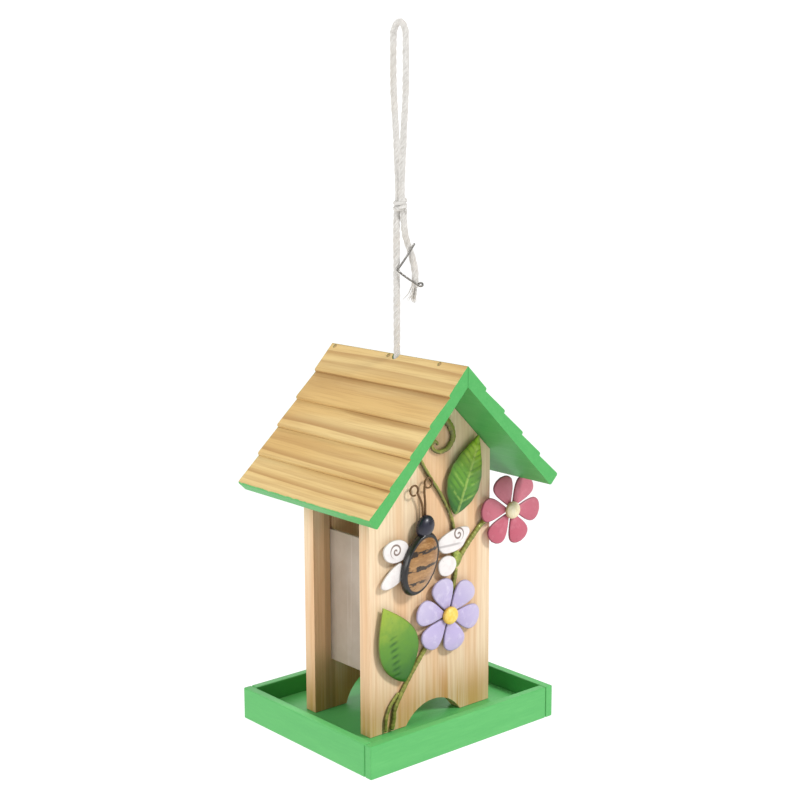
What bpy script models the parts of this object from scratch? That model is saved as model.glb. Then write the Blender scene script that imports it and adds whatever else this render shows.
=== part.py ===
"""Hanging bird feeder: a green tray, two pine gables, clear seed windows, a lapped roof and a cord.

The front gable, which carries the painted metal flower ornament, faces -Y.  The ridge of the roof
runs along Y.  The origin is the top inside of the hanging loop, and the shapes below are drawn with
heights counted from the underside of the tray: the empty "hang_frame" carries them all down.
"""
import math

import bmesh
import bpy
from mathutils import Matrix, Vector

MM = 0.001
GAP = 0.3 * MM            # clearance kept between touching pieces

# --- tray -----------------------------------------------------------------------------------
TRAY_X = 165 * MM
TRAY_Y = 139 * MM
TRAY_H = 22.5 * MM
RAIL_T = 6.3 * MM
FLOOR_T = 9.6 * MM
RAIL_EDGE = 0.9 * MM      # softened edge of a rail

# --- gables ---------------------------------------------------------------------------------
GABLE_HALF = 54 * MM
GABLE_T = 10 * MM
GABLE_OUT = 34.5 * MM     # distance of a gable's outer face from the middle
ARCH_R = 30 * MM
ARCH_X = 2 * MM           # the arches are sawn a little off centre
ARCH_TOP = {-1: 23 * MM, 1: 31 * MM}
GABLE_Z = FLOOR_T + GAP

# --- seed windows ---------------------------------------------------------------------------
WINDOW_X = 38.5 * MM
WINDOW_T = 2 * MM
WINDOW_BOTTOM = 45.5 * MM
WINDOW_TOP = 138 * MM
GROOVE_DEPTH = 3 * MM

# --- roof -----------------------------------------------------------------------------------
RIDGE_Z = 257.2 * MM
ROOF_LEN = 139.4 * MM
PITCH = {-1: math.radians(46.5), 1: math.radians(44.7)}
SLOPE_LEN = {-1: 121 * MM, 1: 118.7 * MM}
ROOF_V = 13.6 * MM        # thickness of a panel measured straight down
COURSES = 5
LAP_STEP = 1.8 * MM
CORD_HOLE_R = 3.2 * MM

# --- cord -----------------------------------------------------------------------------------
CORD_R = 2.3 * MM
LOOP_TOP = 474 * MM       # centre line of the cord at the top of its loop
DOWEL_R = 4 * MM
DOWEL_Z = 222 * MM
KNOT_R = 5.2 * MM
KNOT_Z = (345 * MM, 361.5 * MM)
HANG_HEIGHT = LOOP_TOP - CORD_R

# --- ornament: distances in front of the middle, one layer in front of the other --------------
WIRE_R = 1.3 * MM
WIRE_Y = -(GABLE_OUT + GAP + WIRE_R)
PLATE_Y = WIRE_Y - WIRE_R - GAP
PLATE_T = 1.5 * MM

COLOURS = {
    "green_paint": ((0.16, 0.52, 0.19), 0.45, 0.0),
    "pine": ((0.80, 0.58, 0.34), 0.6, 0.0),
    "clear_plastic": ((0.80, 0.78, 0.74), 0.1, 0.0),
    "steel": ((0.55, 0.54, 0.52), 0.35, 1.0),
    "cotton_cord": ((0.80, 0.77, 0.74), 0.9, 0.0),
    "olive_paint": ((0.20, 0.19, 0.05), 0.4, 0.0),
    "leaf_paint": ((0.16, 0.38, 0.06), 0.4, 0.0),
    "black_paint": ((0.02, 0.02, 0.03), 0.3, 0.0),
    "amber_paint": ((0.50, 0.27, 0.07), 0.35, 0.0),
    "white_paint": ((0.85, 0.82, 0.80), 0.45, 0.0),
    "lilac_paint": ((0.55, 0.47, 0.75), 0.45, 0.0),
    "yellow_paint": ((0.90, 0.68, 0.14), 0.45, 0.0),
    "rose_paint": ((0.50, 0.11, 0.17), 0.45, 0.0),
    "cream_paint": ((0.88, 0.78, 0.52), 0.45, 0.0),
}


# ---------------------------------------------------------------------------------------------
# helpers
# ---------------------------------------------------------------------------------------------
def clear_scene():
    """Remove every object that is in the file."""
    for old in list(bpy.data.objects):
        bpy.data.objects.remove(old, do_unlink=True)


def material(node, colour_name):
    """One Principled material for one node."""
    colour, roughness, metallic = COLOURS[colour_name]
    mat = bpy.data.materials.new(node + "_" + colour_name)
    mat.use_nodes = True
    shader = mat.node_tree.nodes["Principled BSDF"]
    shader.inputs["Base Color"].default_value = (*colour, 1.0)
    shader.inputs["Roughness"].default_value = roughness
    shader.inputs["Metallic"].default_value = metallic
    mat.diffuse_color = (*colour, 1.0)
    return mat


def place(obj, parent):
    """Link an object to the scene and hang it on its parent empty."""
    bpy.context.collection.objects.link(obj)
    obj.parent = parent
    return obj


def finish(name, bm, colour_name, parent, smooth=False):
    """Turn a bmesh into a named object with its own material."""
    bmesh.ops.recalc_face_normals(bm, faces=bm.faces)
    mesh = bpy.data.meshes.new(name)
    bm.to_mesh(mesh)
    bm.free()
    if smooth:
        mesh.shade_smooth()
        mesh.set_sharp_from_angle(angle=math.radians(40))
    obj = bpy.data.objects.new(name, mesh)
    mesh.materials.append(material(name, colour_name))
    return place(obj, parent)


def box_into(bm, x, y, z):
    """Add a box between the two values given for each axis."""
    size = Vector((x[1] - x[0], y[1] - y[0], z[1] - z[0]))
    centre = Vector((x[1] + x[0], y[1] + y[0], z[1] + z[0])) / 2
    matrix = Matrix.Translation(centre) @ Matrix.Diagonal((*size, 1.0))
    bmesh.ops.create_cube(bm, size=1.0, matrix=matrix)


def rod_into(bm, start, direction, length, radius, sides=16):
    """Add a round rod that starts at a point and runs along a direction."""
    axis = Vector(direction).normalized()
    turn = axis.to_track_quat("Z", "Y").to_matrix().to_4x4()
    middle = Vector(start) + axis * length / 2
    bmesh.ops.create_cone(bm, cap_ends=True, segments=sides, radius1=radius, radius2=radius,
                          depth=length, matrix=Matrix.Translation(middle) @ turn)


def prism_into(bm, outline, y0, y1):
    """Add an upright outline of (x, z) points, drawn from y0 to y1."""
    near = [bm.verts.new((x, y0, z)) for x, z in outline]
    far = [bm.verts.new((x, y1, z)) for x, z in outline]
    bm.faces.new(near)
    bm.faces.new(far)
    count = len(outline)
    for i in range(count):
        j = (i + 1) % count
        bm.faces.new((near[i], near[j], far[j], far[i]))


def soften(obj, width, segments=2):
    """Round the long edges of a board."""
    bevel = obj.modifiers.new("edge", "BEVEL")
    bevel.width = width
    bevel.segments = segments
    bevel.limit_method = "ANGLE"
    bevel.angle_limit = math.radians(60)


def cut(obj, cutter):
    """Take a cutter out of an object."""
    boolean = obj.modifiers.new("cut_" + cutter.name, "BOOLEAN")
    boolean.operation = "DIFFERENCE"
    boolean.solver = "EXACT"
    boolean.object = cutter


def cutter(name, bm, parent):
    """Keep a bmesh as a hidden cutting body."""
    obj = finish(name, bm, "steel", parent)
    obj.hide_render = True
    obj.display_type = "WIRE"
    return obj


def smooth_route(points, step):
    """Points about one step apart on a Catmull-Rom curve through the route's own points."""
    pts = [Vector(p) for p in points]
    ends = [2 * pts[0] - pts[1]] + pts + [2 * pts[-1] - pts[-2]]
    out = []
    for i in range(len(pts) - 1):
        a, b, c, d = ends[i:i + 4]
        pieces = max(1, round((c - b).length / step))
        for k in range(pieces):
            t = k / pieces
            out.append(0.5 * (2 * b + (c - a) * t + (2 * a - 5 * b + 4 * c - d) * t * t
                              + (3 * b - a - 3 * c + d) * t ** 3))
    out.append(pts[-1])
    return out


def tube(name, points, radius, colour_name, parent, resolution=2):
    """A round bar along a list of points, as a curve with filled caps."""
    curve = bpy.data.curves.new(name, "CURVE")
    curve.dimensions = "3D"
    curve.bevel_depth = radius
    curve.bevel_resolution = resolution
    curve.use_fill_caps = True
    spline = curve.splines.new("POLY")
    spline.points.add(len(points) - 1)
    for slot, point in zip(spline.points, points):
        slot.co = (*point, 1.0)
    curve.materials.append(material(name, colour_name))
    return place(bpy.data.objects.new(name, curve), parent)


def arc(centre, radius, start, end, count):
    """Points (x, z) on a circle from one angle in degrees to another, both included."""
    angles = [math.radians(start + (end - start) * k / (count - 1)) for k in range(count)]
    return [(centre[0] + radius * math.cos(a), centre[1] + radius * math.sin(a)) for a in angles]


def on_wire_plane(points_mm):
    """Route points (x, z) in millimetres, laid on the plane of the ornament's wires."""
    return [(x * MM, WIRE_Y, z * MM) for x, z in points_mm]


# ---------------------------------------------------------------------------------------------
# tray
# ---------------------------------------------------------------------------------------------
def make_tray(parent, screw_cutter):
    """Floor board with four rails around it; each rail covers the end of the next one."""
    half_x = TRAY_X / 2
    half_y = TRAY_Y / 2
    inner_x = half_x - RAIL_T
    inner_y = half_y - RAIL_T

    bm = bmesh.new()
    box_into(bm, (-inner_x + GAP, inner_x - GAP), (-inner_y + GAP, inner_y - GAP), (0, FLOOR_T))
    floor = finish("tray_floor", bm, "green_paint", parent)
    cut(floor, screw_cutter)

    for name, side in (("tray_rail_front", -1), ("tray_rail_back", 1)):
        bm = bmesh.new()
        x = sorted((side * half_x, side * (GAP - inner_x)))
        y = sorted((side * inner_y, side * half_y))
        box_into(bm, x, y, (0, TRAY_H))
        soften(finish(name, bm, "green_paint", parent), RAIL_EDGE)

    for name, side in (("tray_rail_left", -1), ("tray_rail_right", 1)):
        bm = bmesh.new()
        x = sorted((side * inner_x, side * half_x))
        y = sorted((side * (inner_y - GAP), -side * half_y))
        box_into(bm, x, y, (0, TRAY_H))
        soften(finish(name, bm, "green_paint", parent), RAIL_EDGE)


# ---------------------------------------------------------------------------------------------
# gables and what is in them
# ---------------------------------------------------------------------------------------------
def roof_under(x):
    """Height of the roof's underside above a place x."""
    side = -1 if x < 0 else 1
    return RIDGE_Z - ROOF_V - abs(x) * math.tan(PITCH[side])


def gable_outline(arch_top):
    """Outline (x, z) of a gable board: the sawn arch, straight sides and two roof slopes."""
    centre_z = arch_top - ARCH_R
    foot = math.degrees(math.asin((GABLE_Z - centre_z) / ARCH_R))
    arch_points = arc((ARCH_X, centre_z), ARCH_R, 180 - foot, foot, 17)
    lift = 1.5 * GAP
    top = [(x, roof_under(x) - lift) for x in (GABLE_HALF, 0.0, -GABLE_HALF)]
    return [(-GABLE_HALF, GABLE_Z)] + arch_points + [(GABLE_HALF, GABLE_Z)] + top


def make_gables(parent, screw_cutter, pin_cutter):
    """Two pine boards with a groove for each window, a blind hole for the dowel and screw holes."""
    bm = bmesh.new()
    groove_y = GABLE_OUT - GABLE_T + GROOVE_DEPTH
    groove_half = WINDOW_T / 2 + GAP
    for side in (-1, 1):
        x = side * WINDOW_X
        box_into(bm, (x - groove_half, x + groove_half), (-groove_y, groove_y),
                 (WINDOW_BOTTOM - GAP, RIDGE_Z))
    groove_cutter = cutter("cut_window_grooves", bm, parent)

    bm = bmesh.new()
    reach = GABLE_OUT - GABLE_T / 2 + GAP
    rod_into(bm, (0, -reach, DOWEL_Z), (0, 1, 0), 2 * reach, DOWEL_R + GAP, 24)
    dowel_cutter = cutter("cut_dowel_holes", bm, parent)

    for name, side in (("gable_front", -1), ("gable_back", 1)):
        bm = bmesh.new()
        prism_into(bm, gable_outline(ARCH_TOP[side]), side * GABLE_OUT, side * (GABLE_OUT - GABLE_T))
        board = finish(name, bm, "pine", parent)
        for body in (groove_cutter, dowel_cutter, screw_cutter):
            cut(board, body)
        if side < 0:
            cut(board, pin_cutter)


def make_dowel(parent):
    """Round rod between the gables that the cord is tied to."""
    bm = bmesh.new()
    reach = GABLE_OUT - GABLE_T / 2
    rod_into(bm, (0, -reach, DOWEL_Z), (0, 1, 0), 2 * reach, DOWEL_R, 24)
    finish("hanger_dowel", bm, "pine", parent, smooth=True)


def make_windows(parent):
    """Two clear panes that stand in the grooves and lift out at the top."""
    reach = GABLE_OUT - GABLE_T + GROOVE_DEPTH - GAP
    for name, side in (("window_left", -1), ("window_right", 1)):
        bm = bmesh.new()
        box_into(bm, (-WINDOW_T / 2, WINDOW_T / 2), (-reach, reach), (0, WINDOW_TOP - WINDOW_BOTTOM))
        pane = finish(name, bm, "clear_plastic", parent)
        pane.location = (side * WINDOW_X, 0, WINDOW_BOTTOM)


# ---------------------------------------------------------------------------------------------
# screws of the gables
# ---------------------------------------------------------------------------------------------
SCREW_R = 1.6 * MM
SCREW_HEAD_R = 3.3 * MM
SCREW_HEAD_T = 1.8 * MM
SCREW_TOP = 29 * MM
SCREW_X = 43 * MM


def screw_into(bm, x, y, extra):
    """One countersunk screw up through the tray floor; extra widens it for its hole."""
    head_top = GAP + SCREW_HEAD_T + extra
    tip = SCREW_TOP + extra
    profile = [(0, GAP - extra * 4), (SCREW_HEAD_R + extra, GAP - extra * 4),
               (SCREW_HEAD_R + extra, head_top), (SCREW_R + extra, head_top),
               (SCREW_R + extra, tip), (0, tip)]
    lathe_into(bm, profile, (x, y, 0), (0, 0, 1), 12)


def lathe_into(bm, profile, origin, axis, sides):
    """Turn a profile of (radius, height) points, which starts and ends on the axis."""
    turn = Vector(axis).to_track_quat("Z", "Y").to_matrix().to_4x4()
    matrix = Matrix.Translation(origin) @ turn
    rings = []
    for radius, height in profile:
        if radius == 0:
            rings.append([bm.verts.new(matrix @ Vector((0, 0, height)))] * sides)
            continue
        ring = []
        for k in range(sides):
            a = 2 * math.pi * k / sides
            ring.append(bm.verts.new(matrix @ Vector((radius * math.cos(a), radius * math.sin(a), height))))
        rings.append(ring)
    for lower, upper in zip(rings, rings[1:]):
        for k in range(sides):
            j = (k + 1) % sides
            corners = [lower[k], lower[j], upper[j], upper[k]]
            bm.faces.new(list(dict.fromkeys(corners)))


def make_screws(parent):
    """Four countersunk screws, two to a gable, and the body that cuts their holes."""
    holes = bmesh.new()
    y = GABLE_OUT - GABLE_T / 2
    for name, x, side in (("gable_screw_front_left", -SCREW_X, -1), ("gable_screw_front_right", SCREW_X, -1),
                          ("gable_screw_back_left", -SCREW_X, 1), ("gable_screw_back_right", SCREW_X, 1)):
        bm = bmesh.new()
        screw_into(bm, x, side * y, 0.0)
        finish(name, bm, "steel", parent, smooth=True)
        screw_into(holes, x, side * y, GAP)
    return cutter("cut_screw_holes", holes, parent)


# ---------------------------------------------------------------------------------------------
# roof
# ---------------------------------------------------------------------------------------------
def slope_point(side, along, out):
    """(x, z) of a point so far down the slope and so far out of the surface."""
    c = math.cos(PITCH[side])
    s = math.sin(PITCH[side])
    return (side * (along * c + out * s), -along * s + out * c)


def panel_outline(side):
    """Cross-section of a roof panel, with z counted from the ridge: lapped above, flat below."""
    pitch = PITCH[side]
    depth = ROOF_V * math.cos(pitch)
    course = SLOPE_LEN[side] / COURSES
    nose = LAP_STEP * 0.45
    half_gap = GAP / 2 / math.cos(pitch)
    points = [slope_point(side, half_gap, 0)]
    for k in range(COURSES):
        end = (k + 1) * course
        if k > 0:
            points.append(slope_point(side, k * course, -LAP_STEP))
        points.append(slope_point(side, end - 2 * nose, 0))
        points.append(slope_point(side, end - 0.6 * nose, -0.3 * nose))
        points.append(slope_point(side, end, -1.6 * nose))
    points.append(slope_point(side, SLOPE_LEN[side], -depth + nose))
    points.append(slope_point(side, SLOPE_LEN[side] - nose, -depth))
    points.append(slope_point(side, half_gap + depth * math.tan(pitch), -depth))
    return points


BRAD_R = 0.7 * MM
BRAD_HEAD_R = 1.3 * MM
BRAD_LEN = 10 * MM
BRAD_DOWN = 2.2 * MM      # distance of the brads from the ridge
BRAD_Y = {"ridge_brad_back": 65 * MM, "ridge_brad_middle": 7 * MM, "ridge_brad_front": -44 * MM}


def brad_into(bm, y, extra):
    """One brad driven square into the left panel by the ridge; extra widens it for its hole."""
    x, z = slope_point(-1, BRAD_DOWN, 0)
    outward = (-math.sin(PITCH[-1]), 0, math.cos(PITCH[-1]))
    neck = -0.7 * MM - extra
    top = -0.1 * MM + extra * 4
    profile = [(0, -BRAD_LEN - extra), (BRAD_R + extra, -BRAD_LEN - extra), (BRAD_R + extra, neck),
               (BRAD_HEAD_R + extra, neck), (BRAD_HEAD_R + extra, top), (0, top)]
    lathe_into(bm, profile, (x, y, z), outward, 10)


def make_roof(hang_frame):
    """Two lapped boards mitred at the ridge, and the brads that hold them together."""
    lid = bpy.data.objects.new("roof_frame", None)
    place(lid, hang_frame)
    lid.location = (0, 0, RIDGE_Z)

    bm = bmesh.new()
    rod_into(bm, (0, 0, -40 * MM), (0, 0, 1), 80 * MM, CORD_HOLE_R, 20)
    hole = cutter("cut_cord_hole", bm, lid)
    holes = bmesh.new()
    for name, y in BRAD_Y.items():
        bm = bmesh.new()
        brad_into(bm, y, 0.0)
        finish(name, bm, "steel", lid, smooth=True)
        brad_into(holes, y, GAP)
    brad_holes = cutter("cut_brad_holes", holes, lid)

    for name, side in (("roof_panel_left", -1), ("roof_panel_right", 1)):
        bm = bmesh.new()
        prism_into(bm, panel_outline(side), -ROOF_LEN / 2, ROOF_LEN / 2)
        panel = finish(name, bm, "pine", lid)
        cut(panel, hole)
        cut(panel, brad_holes)


# ---------------------------------------------------------------------------------------------
# cord: one length of twisted cotton, cut into plain solids where its knots are
# ---------------------------------------------------------------------------------------------
SIDEWAYS = Vector((0.76, -0.65, 0)).normalized()     # the way the free end leans
LOOP_WAY = Vector((0.27, 0.96, 0)).normalized()      # the plane that the loop hangs in
LOOP_HALF = 9.4 * MM
KNOT_SHIFT = 2.4 * MM                                # the knot sits beside the standing part
TAIL_ROUTE = ((5.0, 344.5), (6.2, 335), (10.0, 323), (12.2, 312), (12.0, 301), (11.0, 290))


def loop_route():
    """Up one side of the loop, over its round top and down the other side into the knot."""
    foot = KNOT_Z[1] + GAP
    apart = CORD_R + GAP
    shoulder = LOOP_TOP - LOOP_HALF
    rise = [(apart, foot), (apart + 0.6 * MM, foot + 14 * MM), (6 * MM, foot + 42 * MM),
            (LOOP_HALF, foot + 72 * MM)]
    bend = arc((0, shoulder), LOOP_HALF, 0, 180, 9)
    fall = [(-s, z) for s, z in reversed(rise)]
    centre = SIDEWAYS * KNOT_SHIFT
    return [centre + LOOP_WAY * s + Vector((0, 0, z)) for s, z in rise + bend + fall]


def make_cord(parent):
    """Ring on the dowel, standing part, knot, loop and free end."""
    ring_r = DOWEL_R + GAP + CORD_R
    bm = bmesh.new()
    turns = 20
    sides = 10
    grid = []
    for k in range(turns):
        a = 2 * math.pi * k / turns
        ring = []
        for j in range(sides):
            b = 2 * math.pi * j / sides
            r = ring_r + CORD_R * math.cos(b)
            ring.append(bm.verts.new((r * math.sin(a), CORD_R * math.sin(b), DOWEL_Z + r * math.cos(a))))
        grid.append(ring)
    for k in range(turns):
        for j in range(sides):
            near, far = grid[k], grid[(k + 1) % turns]
            m = (j + 1) % sides
            bm.faces.new((near[j], near[m], far[m], far[j]))
    finish("cord_anchor_knot", bm, "cotton_cord", parent, smooth=True)

    foot = DOWEL_Z + ring_r + CORD_R + GAP
    standing = smooth_route([(0, 0, foot), (0, 0, (foot + KNOT_Z[0]) / 2), (0, 0, KNOT_Z[0] - GAP)],
                            12 * MM)
    tube("cord_lower", standing, CORD_R, "cotton_cord", parent)

    bm = bmesh.new()
    low, high = KNOT_Z
    profile = [(0, low), (0.72 * KNOT_R, low), (KNOT_R, low + 3.5 * MM), (KNOT_R, high - 3.5 * MM),
               (0.92 * KNOT_R, high), (0, high)]
    lathe_into(bm, profile, SIDEWAYS * KNOT_SHIFT, (0, 0, 1), 16)
    finish("loop_knot", bm, "cotton_cord", parent, smooth=True)

    tube("cord_loop", smooth_route(loop_route(), 8 * MM), CORD_R, "cotton_cord", parent)
    tail = [SIDEWAYS * (s * MM) + Vector((0, 0, z * MM)) for s, z in TAIL_ROUTE]
    tube("cord_tail", smooth_route(tail, 8 * MM), CORD_R, "cotton_cord", parent)


CLIP_R = 0.6 * MM
CLIP_ROUTE = ((12.0, 331.5), (6.5, 322.5), (0.6, 314), (7.0, 308.5), (15.5, 303))


def make_wire_clip(parent):
    """Thin bent wire that lies across the standing part and the free end of the cord."""
    forward = SIDEWAYS.cross(Vector((0, 0, 1))) * (CORD_R + CLIP_R + 2 * GAP)
    route = [SIDEWAYS * (s * MM) + forward + Vector((0, 0, z * MM)) for s, z in CLIP_ROUTE]
    tube("wire_clip", smooth_route(route, 3 * MM), CLIP_R, "steel", parent)


# ---------------------------------------------------------------------------------------------
# ornament on the front gable
# ---------------------------------------------------------------------------------------------
STEM_ROUTE = ((-36.8, 11.5), (-35, 18), (-33.2, 27), (-22, 43.5), (-6, 62.5), (5, 75.5), (15.5, 89),
              (19.5, 104), (21, 111.9))
ROOT_ROUTE = ((-42, 11.5), (-41.6, 20), (-38.5, 27.5), (-34, 32.6), (-30.6, 35.9))
UPPER_ROUTE = ((20.2, 125.6), (19.2, 132), (18.8, 140), (16, 150), (7.5, 165), (-3, 179.5), (-11, 192),
               (-14.6, 204))
CURL_ROUTE = ((-14.4, 204.9), (-13.6, 210), (-9, 216.5), (-1, 220), (8, 218), (15.5, 211), (17.8, 203),
              (13.5, 196.5), (6, 195), (0.5, 198.5))
BRANCH_ROUTE = ((27, 122.1), (34, 129.5), (45, 139.5), (56, 144))
BUD_OUTLINE = ((19.2, 112.8), (23.2, 113.2), (26.8, 119.2), (24.6, 122.6), (21.6, 124.6), (18.8, 124.4))
LEAF_UPPER = ((17.8, 150.5), (39.6, 202.4), 16.0, 15.0)
LEAF_LOWER = ((-27.0, 43.5), (-45.5, 98.5), 13.8, 20.5)
PURPLE_FLOWER = ((11.6, 81.7), -16, 1.0)
PINK_FLOWER = ((70.1, 145.2), -9, 0.97)
PETAL_REACH = 17.5 * MM
PETAL_LONG = 10 * MM
PETAL_WIDE = 8.3 * MM
FLOWER_WIDER = 1.1        # the flowers are a little wider than tall
BEE_CENTRE = (-16.2, 123.6)
BEE_TURN = math.radians(64)
BEE_LONG = 22.2 * MM
BEE_WIDE = 13.6 * MM
BEE_RISE = 7.5 * MM
WINGS = {
    "bee_wing_upper_left": ((-35.0, 134.5), 11.0, 8.0, -4),
    "bee_wing_upper_right": ((17.5, 133.6), 14.5, 7.5, 14),
    "bee_wing_lower_left": ((-38.2, 118), 10.0, 6.6, 40),
    "bee_wing_lower_right": ((10.6, 116), 8.5, 7.0, -4),
}
HEAD_CENTRE = (-10.9, 150.4)
ANTENNA_R = 0.6 * MM
ANTENNAE = {
    "bee_antenna_left": (((-10.9, 157.4), (-11.4, 161), (-13, 165.8), (-15.3, 170)), (-18.6, 172.8), -40),
    "bee_antenna_right": (((-8.6, 157.4), (-8.7, 163), (-9.6, 170), (-9.5, 174.5)), (-6, 176.2), 205),
}
ANTENNA_LOOP_R = 3.4
BODY_LAYER = PLATE_T + GAP
FLOWER_LAYER = 2 * GAP
PIN_R = 0.8 * MM
PIN_DEEP = 6 * MM
PINS = {
    "pin_leaf_lower": (-32, 78, 0),
    "pin_leaf_upper": (29, 174, 0),
    "pin_purple_flower": (18.5, 79.5, FLOWER_LAYER),
    "pin_bee_lower": (-13, 116, BODY_LAYER),
    "pin_bee_upper": (-9.5, 136, BODY_LAYER),
}


def leaf_outline(base, tip, left, right):
    """Pointed leaf between two points: its half-widths follow sin(pi * t ** 0.8)."""
    base = Vector(base) * MM
    tip = Vector(tip) * MM
    axis = tip - base
    normal = Vector((-axis.y, axis.x)).normalized()
    steps = [k / 14 for k in range(1, 14)]
    outline = [base]
    for side, width, ts in ((-1, right, steps), (1, left, steps[::-1])):
        if side > 0:
            outline.append(tip)
        for t in ts:
            half = width * MM * math.sin(math.pi * t ** 0.8)
            outline.append(base + axis * t + normal * (side * half))
    return [(p.x, p.y) for p in outline]


def ellipse_outline(centre, long_half, wide_half, turn, count=20):
    """Points (x, z) on an ellipse that is turned by an angle in radians."""
    points = []
    for k in range(count):
        a = 2 * math.pi * k / count
        u = long_half * math.cos(a)
        v = wide_half * math.sin(a)
        points.append((centre[0] + u * math.cos(turn) - v * math.sin(turn),
                       centre[1] + u * math.sin(turn) + v * math.cos(turn)))
    return points


def flower_outline(centre, phase, size):
    """Six round petals in one outline: the reach at each angle is the furthest petal edge."""
    points = []
    count = 72
    waist = 6.5 * MM
    for k in range(count):
        angle = 2 * math.pi * k / count
        sixth = math.pi / 3
        off = (angle + sixth / 2) % sixth - sixth / 2
        inside = 1 - (PETAL_REACH * math.sin(off) / PETAL_WIDE) ** 2
        reach = waist
        if inside > 0:
            reach = max(waist, PETAL_REACH * math.cos(off) + PETAL_LONG * math.sqrt(inside))
        reach *= size
        a = angle + math.radians(phase)
        points.append((centre[0] + FLOWER_WIDER * reach * math.cos(a), centre[1] + reach * math.sin(a)))
    return points


def plate(name, outline, colour_name, parent, layer=0.0):
    """Flat sheet piece in front of the wires; layer moves it further out."""
    bm = bmesh.new()
    prism_into(bm, outline, PLATE_Y - layer, PLATE_Y - layer - PLATE_T)
    return finish(name, bm, colour_name, parent)


def dome(name, centre, long_half, wide_half, turn, rise, back, colour_name, parent):
    """Pressed dome with an oval rim: rings shrink as cos and rise as sin towards the top."""
    bm = bmesh.new()
    rim_t = 1.2 * MM
    levels = [(1.0, 0.0), (1.0, rim_t)]
    for k in range(1, 5):
        a = math.pi / 2 * k / 5
        levels.append((math.cos(a), rim_t + (rise - rim_t) * math.sin(a)))
    rings = []
    for share, height in levels:
        outline = ellipse_outline(centre, long_half * share, wide_half * share, turn)
        rings.append([bm.verts.new((x, back - height, z)) for x, z in outline])
    for lower, upper in zip(rings, rings[1:]):
        for k, corner in enumerate(lower):
            j = (k + 1) % len(lower)
            bm.faces.new((corner, lower[j], upper[j], upper[k]))
    bm.faces.new(rings[0])
    top = bm.verts.new((centre[0], back - rise, centre[1]))
    for k, corner in enumerate(rings[-1]):
        bm.faces.new((corner, rings[-1][(k + 1) % len(rings[-1])], top))
    return finish(name, bm, colour_name, parent, smooth=True)


def make_stems(parent):
    """Olive wires: root, stem, upper stem, curl, branch, and the bud at the fork."""
    tube("stem_lower", smooth_route(on_wire_plane(STEM_ROUTE), 5 * MM), WIRE_R, "olive_paint", parent)
    tube("stem_root", smooth_route(on_wire_plane(ROOT_ROUTE), 5 * MM), 1.0 * MM, "olive_paint", parent)
    tube("stem_upper", smooth_route(on_wire_plane(UPPER_ROUTE), 5 * MM), 1.0 * MM, "olive_paint", parent)
    tube("stem_curl", smooth_route(on_wire_plane(CURL_ROUTE), 3 * MM), WIRE_R, "olive_paint", parent)
    tube("stem_branch", smooth_route(on_wire_plane(BRANCH_ROUTE), 5 * MM), WIRE_R, "olive_paint", parent)
    bm = bmesh.new()
    bud = [(x * MM, z * MM) for x, z in BUD_OUTLINE]
    prism_into(bm, bud, WIRE_Y + WIRE_R, WIRE_Y - WIRE_R)
    finish("stem_bud", bm, "leaf_paint", parent)


def make_leaves(parent):
    """Two pressed leaves."""
    plate("leaf_upper", leaf_outline(*LEAF_UPPER), "leaf_paint", parent)
    plate("leaf_lower", leaf_outline(*LEAF_LOWER), "leaf_paint", parent)


def make_flower(prefix, flower, petals, middle, parent):
    """A six-petalled plate with a domed middle in front of it; flower is its centre, turn and size."""
    centre_mm, phase, size = flower
    centre = (centre_mm[0] * MM, centre_mm[1] * MM)
    plate(prefix + "_petals", flower_outline(centre, phase, size), petals, parent, FLOWER_LAYER)
    back = PLATE_Y - FLOWER_LAYER - PLATE_T - GAP
    dome(prefix + "_middle", centre, 6.3 * MM, 6.1 * MM, 0.0, 4.2 * MM, back, middle, parent)


def make_bee(parent):
    """Oval body, round head, four wings behind them and two antennae with curled ends."""
    back = PLATE_Y - BODY_LAYER
    body = (BEE_CENTRE[0] * MM, BEE_CENTRE[1] * MM)
    head = (HEAD_CENTRE[0] * MM, HEAD_CENTRE[1] * MM)
    dome("bee_body", body, BEE_LONG, BEE_WIDE, BEE_TURN, BEE_RISE, back, "amber_paint", parent)
    dome("bee_head", head, 7.7 * MM, 5.4 * MM, 0.0, 6 * MM, back, "black_paint", parent)
    for name, (centre, long_half, wide_half, turn) in WINGS.items():
        middle = (centre[0] * MM, centre[1] * MM)
        outline = ellipse_outline(middle, long_half * MM, wide_half * MM, math.radians(turn))
        plate(name, outline, "white_paint", parent)
    for name, (feeler, loop_centre, start) in ANTENNAE.items():
        sweep = -290 if start > 90 else 290
        loop = arc(loop_centre, ANTENNA_LOOP_R, start, start + sweep, 14)
        points = smooth_route([(x, 0, z) for x, z in list(feeler) + loop], 1.6)
        y = PLATE_Y - PLATE_T / 2
        route = [(p[0] * MM, y, p[2] * MM) for p in points]
        tube(name, route, ANTENNA_R, "olive_paint", parent)


def make_pins(parent):
    """Pins that hold the leaves, the purple flower and the bee off the front gable."""
    holes = bmesh.new()
    for name, (x, z, layer) in PINS.items():
        end = PLATE_Y - layer + GAP
        for target, extra in ((bmesh.new(), 0.0), (holes, GAP)):
            start = -(GABLE_OUT - PIN_DEEP - extra)
            rod_into(target, (x * MM, start, z * MM), (0, -1, 0), start - end, PIN_R + extra, 10)
            if extra == 0:
                finish(name, target, "steel", parent, smooth=True)
    return cutter("cut_pin_holes", holes, parent)


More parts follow.
